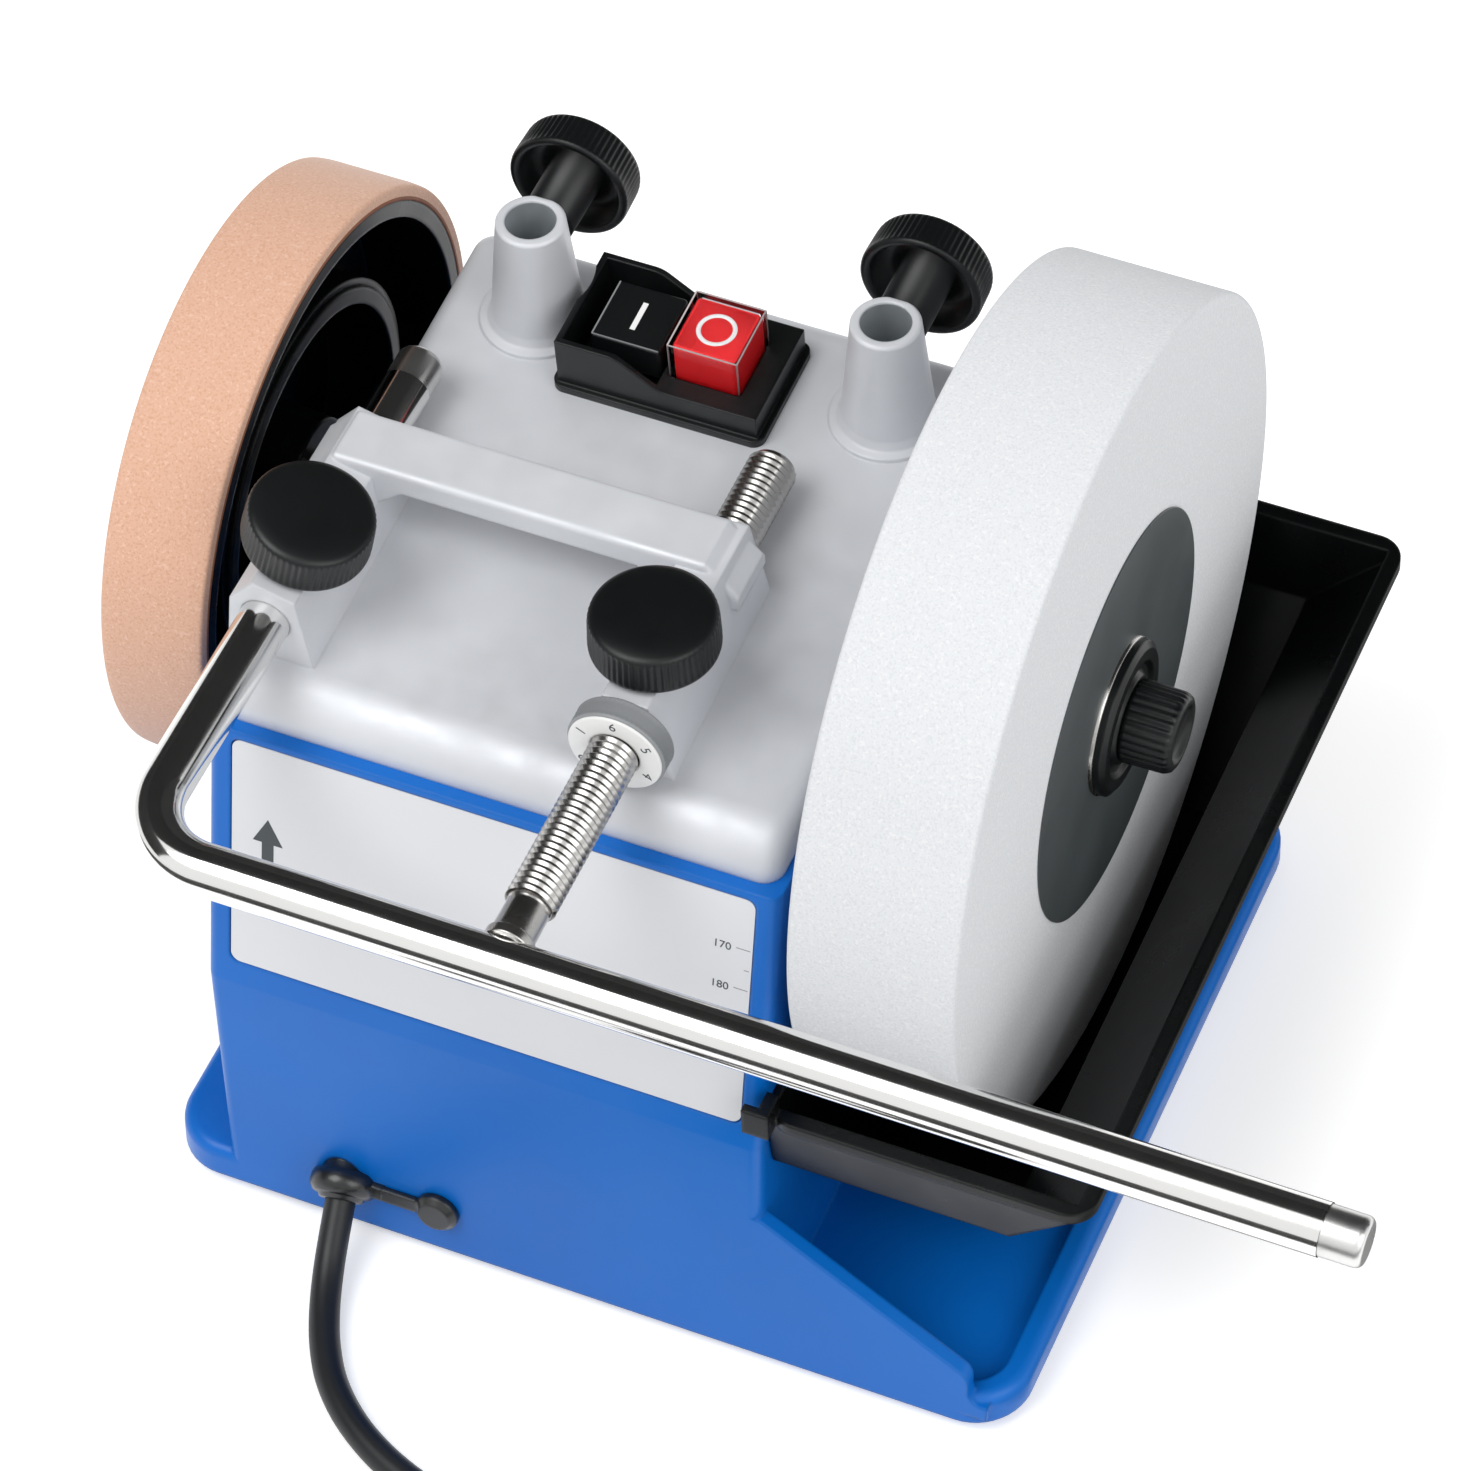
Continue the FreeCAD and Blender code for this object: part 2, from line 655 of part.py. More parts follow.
def sleeve(x):
    """A tapered upright sleeve with a foot fillet and a flat at the back for its screw."""
    foot = cast_top(SLEEVE_Y)
    inside = foot - CAST_WALL / 2
    profile = [
        (0, inside),
        (SLEEVE_FOOT_RADIUS + SLEEVE_FILLET, inside),
        (SLEEVE_FOOT_RADIUS + SLEEVE_FILLET, foot + 0.3),
        (SLEEVE_FOOT_RADIUS + 0.3 * SLEEVE_FILLET, foot + 0.3 * SLEEVE_FILLET),
        (SLEEVE_FOOT_RADIUS, foot + SLEEVE_FILLET),
        (SLEEVE_TOP_RADIUS, SLEEVE_TOP - 0.6),
        (SLEEVE_TOP_RADIUS - 0.6, SLEEVE_TOP),
        (0, SLEEVE_TOP),
    ]
    shape = turned_z(profile)
    reach = SLEEVE_FOOT_RADIUS + SLEEVE_FILLET
    flat = block(-reach, reach, SLEEVE_FLAT, reach + 1, SLEEVE_TOP - SLEEVE_FLAT_HEIGHT, SLEEVE_TOP + 1)
    shape = shape.cut(flat)
    shape.translate(Vector(x, SLEEVE_Y, 0))
    return shape


def front_screw_axis(tilt):
    lean = math.radians(tilt)
    return Vector(math.sin(lean), 0, math.cos(lean))


def make_casting():
    shape = cast_shell()
    for x, tilt in ((LEG_LEFT_X, LEFT_SCREW_TILT), (LEG_RIGHT_X, RIGHT_SCREW_TILT)):
        shape = shape.fuse(clamp_block(x, tilt))
    shape = shape.fuse(arch())
    for x in (SLEEVE_LEFT_X, SLEEVE_RIGHT_X):
        shape = shape.fuse(sleeve(x))
    for x, tilt in ((LEG_LEFT_X, LEFT_SCREW_TILT), (LEG_RIGHT_X, RIGHT_SCREW_TILT)):
        shape = shape.cut(rod(Vector(x, CLAMP_FRONT - 1, LEG_Z), AXIS_Y, LEG_BORE, CLAMP_REAR - CLAMP_FRONT + 2))
        hole = rod(Vector(x, FRONT_SCREW_Y, LEG_Z), front_screw_axis(tilt), STUD_BORE, 2 * CLAMP_FACET_HEIGHT)
        shape = shape.cut(hole)
    for x in (SLEEVE_LEFT_X, SLEEVE_RIGHT_X):
        start = Vector(x, SLEEVE_Y, HOUSING_TOP)
        shape = shape.cut(rod(start, AXIS_Z, LEG_BORE, SLEEVE_TOP - HOUSING_TOP + 1))
        screw = Vector(x, SLEEVE_Y, SLEEVE_TOP - SLEEVE_SCREW_DROP)
        shape = shape.cut(rod(screw, AXIS_Y, STUD_BORE, 2 * SLEEVE_FLAT))
    width, depth, height = SWITCH_BOX
    opening = rounded_block(width + 2 * SMALL_GAP, depth + 2 * SMALL_GAP, -height, height, 1.0)
    shape = shape.cut(placed(opening, switch_frame()))
    return shape.removeSplitter()


def switch_frame():
    """Placement of the switch: local Z square to the sloping top, origin on it."""
    turn = Rotation(AXIS_X, TOP_SLOPE)
    return Placement(Vector(SWITCH_X, SWITCH_Y, cast_top(SWITCH_Y) + SWITCH_SEAT), turn)


def knob_solid(hub):
    """A ribbed hand knob on a local Z axis, hub length measured from the seat."""
    low = hub
    high = hub + KNOB_BAND
    band = prism_z(serrated(KNOB_RADIUS, KNOB_RIB_DEPTH, KNOB_RIBS), low, high)
    edge = KNOB_RADIUS - KNOB_RIB_DEPTH
    dome = turned_z([
        (0, high),
        (edge, high),
        (edge - 0.4, high + 0.4 * KNOB_DOME),
        (edge - 1.8, high + 0.7 * KNOB_DOME),
        (0.4 * edge, high + KNOB_DOME),
        (0, high + KNOB_DOME),
    ])
    cup = ring(Vector(0, 0, low), AXIS_Z, KNOB_RADIUS - KNOB_CUP_WALL, KNOB_HUB_RADIUS, KNOB_CUP_DEPTH)
    shape = band.fuse(dome).cut(cup)
    shape = shape.fuse(rod(Vector(0, 0, HUB_GAP), AXIS_Z, KNOB_HUB_RADIUS, low + KNOB_CUP_DEPTH - HUB_GAP))
    return shape.cut(rod(Vector(0, 0, 0), AXIS_Z, STUD_RADIUS + RUNNING_FIT, low + STUD_IN_KNOB)).removeSplitter()


def stud_solid(hub, tip):
    return rod(Vector(0, 0, -tip), AXIS_Z, STUD_RADIUS, tip + hub + STUD_IN_KNOB)


def front_knob_frame(x, tilt):
    axis = front_screw_axis(tilt)
    return along(Vector(x, FRONT_SCREW_Y, LEG_Z) + axis * CLAMP_FACET_HEIGHT, axis)


def rear_knob_frame(x):
    return along(Vector(x, SLEEVE_Y + SLEEVE_FLAT, SLEEVE_TOP - SLEEVE_SCREW_DROP), AXIS_Y)


def save_knobs():
    front_tip = CLAMP_FACET_HEIGHT - LEG_BORE - SMALL_GAP
    rear_tip = SLEEVE_FLAT - LEG_BORE - SMALL_GAP
    knobs = {
        "front_left": (front_knob_frame(LEG_LEFT_X, LEFT_SCREW_TILT), FRONT_HUB, front_tip),
        "front_right": (front_knob_frame(LEG_RIGHT_X, RIGHT_SCREW_TILT), FRONT_HUB, front_tip),
        "rear_left": (rear_knob_frame(SLEEVE_LEFT_X), REAR_HUB, rear_tip),
        "rear_right": (rear_knob_frame(SLEEVE_RIGHT_X), REAR_HUB, rear_tip),
    }
    for name, (frame, hub, tip) in knobs.items():
        save("knob_" + name, placed(knob_solid(hub), frame))
        save("stud_" + name, placed(stud_solid(hub, tip), frame))


def make_support_bar():
    """The smooth leg, its bend and the long bar, as one bent rod."""
    rear = Vector(LEG_LEFT_X, LEG_END, LEG_Z)
    bend_start = Vector(LEG_LEFT_X, BAR_Y + BAR_BEND, LEG_Z)
    bend_end = Vector(LEG_LEFT_X + BAR_BEND, BAR_Y, LEG_Z)
    corner = Vector(LEG_LEFT_X + BAR_BEND, BAR_Y + BAR_BEND, LEG_Z)
    middle = corner + Vector(-1, -1, 0).normalize() * BAR_BEND
    front = Vector(BAR_END, BAR_Y, LEG_Z)
    path = Part.Wire([
        Part.LineSegment(rear, bend_start).toShape(),
        Part.Arc(bend_start, middle, bend_end).toShape(),
        Part.LineSegment(bend_end, front).toShape(),
    ])
    section = Part.Wire(Part.makeCircle(LEG_RADIUS, rear, AXIS_Y))
    bar = path.makePipeShell([section], True, False)
    ends = [
        edge for edge in bar.Edges
        if edge.BoundBox.YMin > LEG_END - 1e-3 or edge.BoundBox.XMin > BAR_END - 1e-3
    ]
    bar = bar.makeChamfer(BAR_CHAMFER, ends)
    tips = ((Vector(LEG_LEFT_X, LEG_END - BAR_TIP, LEG_Z), AXIS_Y), (Vector(BAR_END - BAR_TIP, BAR_Y, LEG_Z), AXIS_X))
    for start, axis in tips:
        bar = bar.cut(ring(start, axis, 2 * LEG_RADIUS, LEG_RADIUS - BAR_TIP_STEP, BAR_TIP + 1))
    return bar


def make_threaded_leg():
    """The threaded leg, necked down where it is welded to the bar."""
    neck_end = BAR_Y + LEG_RADIUS + NECK_LENGTH
    start = Vector(LEG_RIGHT_X, neck_end, LEG_Z)
    leg = rod(start, AXIS_Y, LEG_RADIUS, LEG_END - neck_end)
    ends = [edge for edge in leg.Edges if edge.BoundBox.YMin > LEG_END - 1e-3]
    leg = leg.makeChamfer(BAR_CHAMFER, ends)
    leg = leg.fuse(rod(Vector(LEG_RIGHT_X, BAR_Y, LEG_Z), AXIS_Y, NECK_RADIUS, LEG_RADIUS + NECK_LENGTH))
    return leg.cut(rod(Vector(LEG_LEFT_X, BAR_Y, LEG_Z), AXIS_X, LEG_RADIUS, LEG_SPACING * 2)).removeSplitter()


def make_micro_nut():
    back = CLAMP_FRONT - SMALL_GAP
    nut = prism_z(serrated(MICRO_NUT_RADIUS, MICRO_NUT_RIB_DEPTH, MICRO_NUT_RIBS), 0, MICRO_NUT_LENGTH)
    nut = nut.cut(rod(Vector(0, 0, 0), AXIS_Z, LEG_RADIUS + RUNNING_FIT, MICRO_NUT_LENGTH))
    return placed(nut, along(Vector(LEG_RIGHT_X, back, LEG_Z), -AXIS_Y))


def make_micro_dial():
    front = CLAMP_FRONT - SMALL_GAP - MICRO_NUT_LENGTH
    return ring(Vector(LEG_RIGHT_X, front, LEG_Z), -AXIS_Y, DIAL_RADIUS, LEG_RADIUS + RUNNING_FIT, DIAL_THICKNESS)


def make_switch_body():
    """Switch housing: an open well with high walls on the left, which step down in a curve to a low deck."""
    half = SWITCH_WIDTH / 2
    flange_width, flange_depth, flange_height = SWITCH_FLANGE
    outline = [
        (-half, 0),
        (-half, SWITCH_HIGH),
        (SWITCH_STEP_LEFT, SWITCH_HIGH),
        (SWITCH_STEP_RIGHT, SWITCH_LOW),
        (half, SWITCH_LOW),
        (half, 0),
    ]
    shape = prism_y(outline, -SWITCH_DEPTH / 2, SWITCH_DEPTH / 2)
    step = [
        edge for edge in shape.Edges
        if edge.BoundBox.YLength > 1
        and SWITCH_STEP_LEFT - 1e-3 <= edge.BoundBox.XMin <= SWITCH_STEP_RIGHT + 1e-3
        and edge.BoundBox.ZMin > 1
    ]
    shape = shape.makeFillet(SWITCH_STEP_RADIUS, step)
    shape = shape.fuse(rounded_block(flange_width, flange_depth, 0, flange_height, SWITCH_CORNER))
    width, depth, height = SWITCH_BOX
    shape = shape.fuse(rounded_block(width, depth, -height, SWITCH_FLOOR, 1.0))
    high = 2 * SWITCH_HIGH
    inner = SWITCH_DEPTH / 2 - SWITCH_WALL
    shape = shape.cut(block(SWITCH_WALL - half, SWITCH_DECK, -inner, inner, SWITCH_FLOOR, high))
    cap = OFF_SIZE + 2 * CAP_WALL + 2 * SMALL_GAP
    well = rounded_block(cap, cap, SWITCH_FLOOR, high, 1.0)
    shape = shape.cut(placed(well, Placement(Vector(OFF_X, 0, 0), Rotation())))
    for x in (ON_X, OFF_X):
        guide = stem(x, LOOSE_FIT, -STEM_LENGTH - BUTTON_STROKE - SMALL_GAP)
        shape = shape.cut(guide)
    foot = SLEEVE_FOOT_RADIUS + SLEEVE_FILLET + SMALL_GAP
    sleeve_foot = rod(Vector(SLEEVE_LEFT_X, SLEEVE_Y, HOUSING_TOP), AXIS_Z, foot, THROUGH)
    return placed(shape.removeSplitter(), switch_frame()).cut(sleeve_foot)


def stem(x, gap, low):
    """The square stem of a button, or the guide that it slides in."""
    size = STEM_SIZE + 2 * gap
    shape = rounded_block(size, size, low, BUTTON_FOOT, 1.0)
    shape.translate(Vector(x, 0, 0))
    return shape


def button(x, size, top):
    shape = rounded_block(size, size, BUTTON_FOOT, top, 1.0)
    shape.translate(Vector(x, 0, 0))
    rim = [edge for edge in shape.Edges if edge.BoundBox.ZMin > top - 1e-3]
    shape = shape.makeFillet(0.6, rim).fuse(stem(x, 0, -STEM_LENGTH))
    return placed(shape.removeSplitter(), switch_frame())


def make_button_cap():
    """The clear cap over the stop button."""
    size = OFF_SIZE + 2 * CAP_WALL
    outer = rounded_block(size, size, BUTTON_FOOT, OFF_TOP + CAP_WALL, 1.2)
    inner = rounded_block(OFF_SIZE + LOOSE_FIT, OFF_SIZE + LOOSE_FIT, 0, OFF_TOP, 1.0)
    shape = outer.cut(inner)
    shape.translate(Vector(OFF_X, 0, 0))
    return placed(shape, switch_frame())


def trough_form(inset, rim):
    """The trough's outer or inner form: sloping ends, upright left wall, right wall with a knee."""
    floor = TROUGH_BOTTOM + inset
    profile = [
        (TROUGH_FRONT + inset, rim),
        (TROUGH_FRONT + TROUGH_DRAFT + inset, TROUGH_SHOULDER),
        (TROUGH_FRONT + TROUGH_FLOOR_INSET + inset, floor),
        (TROUGH_REAR - TROUGH_FLOOR_INSET - inset, floor),
        (TROUGH_REAR - TROUGH_DRAFT - inset, TROUGH_SHOULDER),
        (TROUGH_REAR - inset, rim),
    ]
    left = TROUGH_LEFT + inset
    shape = prism_x(profile, left, TROUGH_RIGHT - inset)
    right = [
        (TROUGH_FLOOR_RIGHT - inset, TROUGH_BOTTOM),
        (TROUGH_KNEE - inset, TROUGH_SHOULDER),
        (TROUGH_RIGHT - inset, TROUGH_RIM - TROUGH_LIP_HEIGHT),
        (TROUGH_RIGHT - inset, rim + 1),
        (left - 1, rim + 1),
        (left - 1, TROUGH_BOTTOM),
    ]
    return shape.common(prism_y(right, TROUGH_FRONT - 1, TROUGH_REAR + 1))


def trough_lip():
    """The rolled rim, flush with the left wall so that it clears the housing."""
    x0 = TROUGH_LEFT
    x1 = TROUGH_RIGHT + TROUGH_LIP
    y0 = TROUGH_FRONT - TROUGH_LIP
    y1 = TROUGH_REAR + TROUGH_LIP
    outer = rounded_block(x1 - x0, y1 - y0, TROUGH_RIM - TROUGH_LIP_HEIGHT, TROUGH_RIM, TROUGH_CORNER)
    outer.translate(Vector((x0 + x1) / 2, (y0 + y1) / 2, 0))
    return outer


def trough_ear(y0, y1):
    """A clip ear that reaches round a corner of the housing."""
    low = TROUGH_RIM - EAR_HEIGHT
    return block(TROUGH_LEFT - EAR_LENGTH, TROUGH_LEFT + TROUGH_WALL, y0, y1, low, TROUGH_RIM + EAR_RISE)


def make_trough():
    shape = trough_form(0, TROUGH_RIM).fuse(trough_lip())
    lowest = TROUGH_RIM - EAR_HEIGHT - TROUGH_DROP
    front = front_y(lowest) - SMALL_GAP
    rear = rear_y(lowest) + SMALL_GAP
    shape = shape.fuse(trough_ear(front - EAR_THICKNESS, front))
    root = block(TROUGH_LEFT, TROUGH_LEFT + EAR_ROOT, front - EAR_THICKNESS, TROUGH_FRONT + TROUGH_WALL,
                 TROUGH_RIM - EAR_HEIGHT, TROUGH_RIM + EAR_RISE)
    shape = shape.fuse(root)
    shape = shape.fuse(trough_ear(rear, rear + EAR_THICKNESS))
    return shape.cut(trough_form(TROUGH_WALL, TROUGH_RIM + 1)).removeSplitter()


def make_stone():
    outer = STONE_DIAMETER / 2
    left = STONE_FACE
    right = STONE_FACE + STONE_WIDTH
    bore = SHAFT_RADIUS + LOOSE_FIT
    return turned_x([
        (left, bore),
        (left, outer - STONE_CHAMFER),
        (left + STONE_CHAMFER, outer),
        (right - STONE_CHAMFER, outer),
        (right, outer - STONE_CHAMFER),
        (right, bore),
    ])


def washer_x(x0, x1, outer, inner):
    return turned_x([(x0, inner), (x0, outer), (x1, outer), (x1, inner)])


def make_outer_washer(x0):
    """The dished plastic washer outside the stone, with a raised ring."""
    inner = SHAFT_RADIUS + LOOSE_FIT
    x1 = x0 + WASHER_THICKNESS
    return turned_x([
        (x0, inner),
        (x0, WASHER_RADIUS),
        (x1 - 1.0, WASHER_RADIUS),
        (x1, WASHER_RADIUS - 1.5),
        (x1, WASHER_RADIUS - 4.5),
        (x1 - 1.2, WASHER_RADIUS - 5.5),
        (x1 - 1.2, inner + 5.5),
        (x1, inner + 4.5),
        (x1, inner),
    ])


def make_stone_nut(x0):
    nut = prism_z(serrated(STONE_NUT_RADIUS, STONE_NUT_RIB_DEPTH, STONE_NUT_RIBS), 0, STONE_NUT_LENGTH)
    nut = nut.cut(rod(Vector(0, 0, -1), AXIS_Z, SHAFT_RADIUS + RUNNING_FIT, STONE_NUT_LENGTH - 1))
    return placed(nut, along(Vector(x0, AXLE_Y, AXLE_Z), AXIS_X))


def make_honing_wheel():
    """A cup-shaped wheel, open to the machine, with the drive drum inside it."""
    inner = HONING_FACE
    outer = HONING_FACE - HONING_WIDTH
    rim = HONING_DIAMETER / 2 - LEATHER_THICKNESS
    web = outer + HONING_WEB
    drum_end = web + DRUM_DEPTH
    bore = SHAFT_RADIUS + LOOSE_FIT
    return turned_x([
        (outer, bore),
        (outer, rim),
        (inner, rim),
        (inner, rim - HONING_RIM),
        (web, rim - HONING_RIM - 1),
        (web, DRUM_RADIUS),
        (drum_end, DRUM_RADIUS),
        (drum_end, DRUM_RADIUS - DRUM_WALL),
        (web, DRUM_RADIUS - DRUM_WALL - 1),
        (web, HONING_HUB_RADIUS + 1),
        (drum_end, HONING_HUB_RADIUS),
        (drum_end, bore),
    ])


def make_leather():
    outer = HONING_DIAMETER / 2
    inner = outer - LEATHER_THICKNESS + LOOSE_FIT
    left = HONING_FACE - HONING_WIDTH
    bulge = 0.8
    return turned_x([
        (left, inner),
        (left, outer - bulge),
        (left + bulge, outer),
        (HONING_FACE - bulge, outer),
        (HONING_FACE, outer - bulge),
        (HONING_FACE, inner),
    ])


def make_honing_nut():
    start = HONING_FACE - HONING_WIDTH - HONING_WASHER_THICKNESS - HONING_NUT_HEIGHT
    corner = HONING_NUT_FLATS / math.sqrt(3)
    points = [(corner * math.cos(math.radians(a)), corner * math.sin(math.radians(a))) for a in range(0, 360, 60)]
    nut = prism_z(points, 0, HONING_NUT_HEIGHT)
    nut = nut.cut(rod(Vector(0, 0, -1), AXIS_Z, SHAFT_RADIUS + LOOSE_FIT, HONING_NUT_HEIGHT + 2))
    return placed(nut, along(Vector(start, AXLE_Y, AXLE_Z), AXIS_X))


def make_bush(x_wall, inwards):
    """A flanged plain bearing pressed into a side wall from inside."""
    bore = SHAFT_RADIUS + RUNNING_FIT
    inside = x_wall + inwards * BUSH_FLANGE
    outside = x_wall - inwards * WALL
    points = [(inside, bore), (inside, BUSH_FLANGE_RADIUS), (x_wall, BUSH_FLANGE_RADIUS),
              (x_wall, BUSH_RADIUS), (outside, BUSH_RADIUS), (outside, bore)]
    return turned_x(points)


def save_shaft_parts():
    stone_outer = STONE_FACE + STONE_WIDTH
    washer_start = stone_outer + LABEL_THICKNESS
    nut_start = washer_start + WASHER_THICKNESS + RUNNING_FIT
    shaft_left = HONING_FACE - HONING_WIDTH - HONING_WASHER_THICKNESS - HONING_NUT_HEIGHT - 2
    shaft_right = nut_start + STONE_NUT_LENGTH - 3
    flange_start = HOUSING_RIGHT + 1.0
    bore = SHAFT_RADIUS + LOOSE_FIT
    hone_outer = HONING_FACE - HONING_WIDTH
    drum_start = hone_outer + HONING_WEB
    save("main_shaft", rod(Vector(shaft_left, AXLE_Y, AXLE_Z), AXIS_X, SHAFT_RADIUS, shaft_right - shaft_left))
    save("grindstone", make_stone())
    save("stone_label", washer_x(stone_outer, washer_start, LABEL_RADIUS, SHAFT_RADIUS + LOOSE_FIT))
    save("inner_flange", washer_x(flange_start, STONE_FACE, INNER_FLANGE_RADIUS, bore))
    save("outer_washer", make_outer_washer(washer_start))
    save("stone_nut", make_stone_nut(nut_start))
    save("honing_wheel", make_honing_wheel())
    save("leather_band", make_leather())
    ring_start = drum_start + 1.0
    ring_end = drum_start + DRUM_DEPTH - 1.0
    save("drive_ring", washer_x(ring_start, ring_end, DRIVE_RADIUS, DRUM_RADIUS + LOOSE_FIT))
    save("honing_washer", washer_x(hone_outer - HONING_WASHER_THICKNESS, hone_outer, HONING_WASHER_RADIUS, bore))
    save("honing_nut", make_honing_nut())
    save("bush_left", make_bush(HOUSING_LEFT + WALL, 1))
    save("bush_right", make_bush(HOUSING_RIGHT - WALL, -1))


def motor_point(x):
    return Vector(x, MOTOR_Y, MOTOR_Z)


def motor_plates():
    """Left faces of the two end plates that carry the motor's bushes."""
    left = MOTOR_LEFT - WINDING_LENGTH - MOTOR_PLATE_GAP - MOTOR_PLATE
    right = MOTOR_RIGHT + WINDING_LENGTH + MOTOR_PLATE_GAP
    return left, right


def make_motor_bracket():
    """A folded bracket on the bottom cover: two end plates and a saddle under the stator."""
    left, right = motor_plates()
    floor = FOOT_HEIGHT + COVER_THICKNESS
    half = MOTOR_PLATE_WIDTH / 2
    high = MOTOR_Z + MOTOR_BUSH_RADIUS + 6
    shape = block(left, right + MOTOR_PLATE, MOTOR_Y - half, MOTOR_Y + half, floor, floor + MOTOR_PLATE)
    for x in (left, right):
        shape = shape.fuse(block(x, x + MOTOR_PLATE, MOTOR_Y - half, MOTOR_Y + half, floor, high))
    saddle_half = SADDLE_WIDTH / 2
    saddle = block(MOTOR_LEFT + 5, MOTOR_RIGHT - 5, MOTOR_Y - saddle_half, MOTOR_Y + saddle_half, floor, MOTOR_Z)
    shape = shape.fuse(saddle.cut(rod(motor_point(MOTOR_LEFT), AXIS_X, STATOR_RADIUS + LOOSE_FIT, STATOR_LENGTH)))
    return shape.cut(rod(motor_point(left - 1), AXIS_X, MOTOR_BUSH_RADIUS + LOOSE_FIT, THROUGH)).removeSplitter()


def make_motor_bushes():
    bushes = []
    bore = MOTOR_SHAFT_RADIUS + RUNNING_FIT
    for x in motor_plates():
        start = x + MOTOR_PLATE / 2 - MOTOR_BUSH_LENGTH / 2
        bushes.append(ring(motor_point(start), AXIS_X, MOTOR_BUSH_RADIUS, bore, MOTOR_BUSH_LENGTH))
    return Part.makeCompound(bushes)


def make_windings():
    starts = (MOTOR_LEFT - WINDING_LENGTH, MOTOR_RIGHT)
    coils = [ring(motor_point(x), AXIS_X, WINDING_OUTER, WINDING_INNER, WINDING_LENGTH) for x in starts]
    return Part.makeCompound(coils)


def save_motor():
    left, right = motor_plates()
    roller_start = HONING_FACE - HONING_WIDTH + HONING_WEB + 3
    roller_end = roller_start + ROLLER_LENGTH
    shaft_end = right + MOTOR_PLATE + 5
    neck = rod(motor_point(roller_start - 1), AXIS_X, ROLLER_NECK_RADIUS, ROLLER_LENGTH + 1)
    shaft = rod(motor_point(roller_end), AXIS_X, MOTOR_SHAFT_RADIUS, shaft_end - roller_end).fuse(neck)
    roller = ring(motor_point(roller_start), AXIS_X, ROLLER_RADIUS, ROLLER_NECK_RADIUS + LOOSE_FIT, ROLLER_LENGTH)
    rotor_bore = MOTOR_SHAFT_RADIUS + LOOSE_FIT
    save("motor_bracket", make_motor_bracket())
    save("motor_bushes", make_motor_bushes())
    save("motor_stator", ring(motor_point(MOTOR_LEFT), AXIS_X, STATOR_RADIUS, ROTOR_RADIUS + AIR_GAP, STATOR_LENGTH))
    save("motor_windings", make_windings())
    save("motor_rotor", ring(motor_point(MOTOR_LEFT), AXIS_X, ROTOR_RADIUS, rotor_bore, STATOR_LENGTH))
    save("motor_shaft", shaft.removeSplitter())
    save("friction_roller", roller)


def save_electrics():
    floor = FOOT_HEIGHT + COVER_THICKNESS
    x0 = HOUSING_RIGHT - WALL - 20 - CAPACITOR_LENGTH
    y0 = BASE_FRONT + CAPACITOR_SETBACK + CAPACITOR_RADIUS
    capacitor = Vector(x0, y0, floor + CAPACITOR_RADIUS)
    save("capacitor", rod(capacitor, AXIS_X, CAPACITOR_RADIUS, CAPACITOR_LENGTH))
    length, width, height = TERMINAL_SIZE
    x0 = GLAND_POINT.x + 14
    y0 = BASE_FRONT + TERMINAL_SETBACK
    terminal = block(x0, x0 + length, y0, y0 + width, floor, floor + height)
    save("terminal_block", terminal)


def unit(vector):
    return Vector(vector).normalize()


def make_gland():
    """The rubber bulb that the lead leaves through, with a neck that seats in the front wall."""
    inside = WALL + 4
    profile = [
        (0, -inside),
        (GLAND_NECK_RADIUS, -inside),
        (GLAND_NECK_RADIUS, 2.0),
        (GLAND_RADIUS, 2.0),
        (GLAND_RADIUS + 0.6, 5.0),
        (GLAND_RADIUS - 0.6, 9.0),
        (GLAND_NECK_RADIUS + 1.6, 12.5),
        (GLAND_NECK_RADIUS, 14.0),
        (GLAND_NECK_RADIUS - 0.6, GLAND_LENGTH),
        (0, GLAND_LENGTH),
    ]
    bulb = placed(turned_z(profile), along(GLAND_POINT, GLAND_DIRECTION))
    shell = prism_x(housing_profile(-SMALL_GAP, FOOT_HEIGHT, HOUSING_TOP), HOUSING_LEFT, HOUSING_RIGHT)
    neck = placed(rod(Vector(0, 0, -inside), AXIS_Z, GLAND_NECK_RADIUS, inside + 8), along(GLAND_POINT, GLAND_DIRECTION))
    return bulb.cut(shell).fuse(neck).removeSplitter()


def strap_frame():
    """Placement on the lower front face beside the gland: local X across, local Z outwards."""
    z = GLAND_POINT.z - 1.0
    return Placement(Vector(GLAND_POINT.x, front_y(z), z), Rotation(AXIS_X, 90 - LOWER_FRONT_LEAN))


def make_gland_strap():
    """The strap beside the gland and the disc at its end, one soft moulding."""
    start = GLAND_RADIUS + 1.5
    low = SMALL_GAP
    strap = block(start, STRAP_REACH, -STRAP_WIDTH / 2, STRAP_WIDTH / 2, low, low + STRAP_THICKNESS)
    disc = turned_z([
        (0, low),
        (STRAP_DISC_RADIUS, low),
        (STRAP_DISC_RADIUS, low + STRAP_THICKNESS),
        (STRAP_DISC_RADIUS - 1.5, low + 2 * STRAP_THICKNESS),
        (0, low + 2 * STRAP_THICKNESS),
    ])
    disc.translate(Vector(STRAP_REACH, 0, 0))
    return placed(strap.fuse(disc).removeSplitter(), strap_frame())


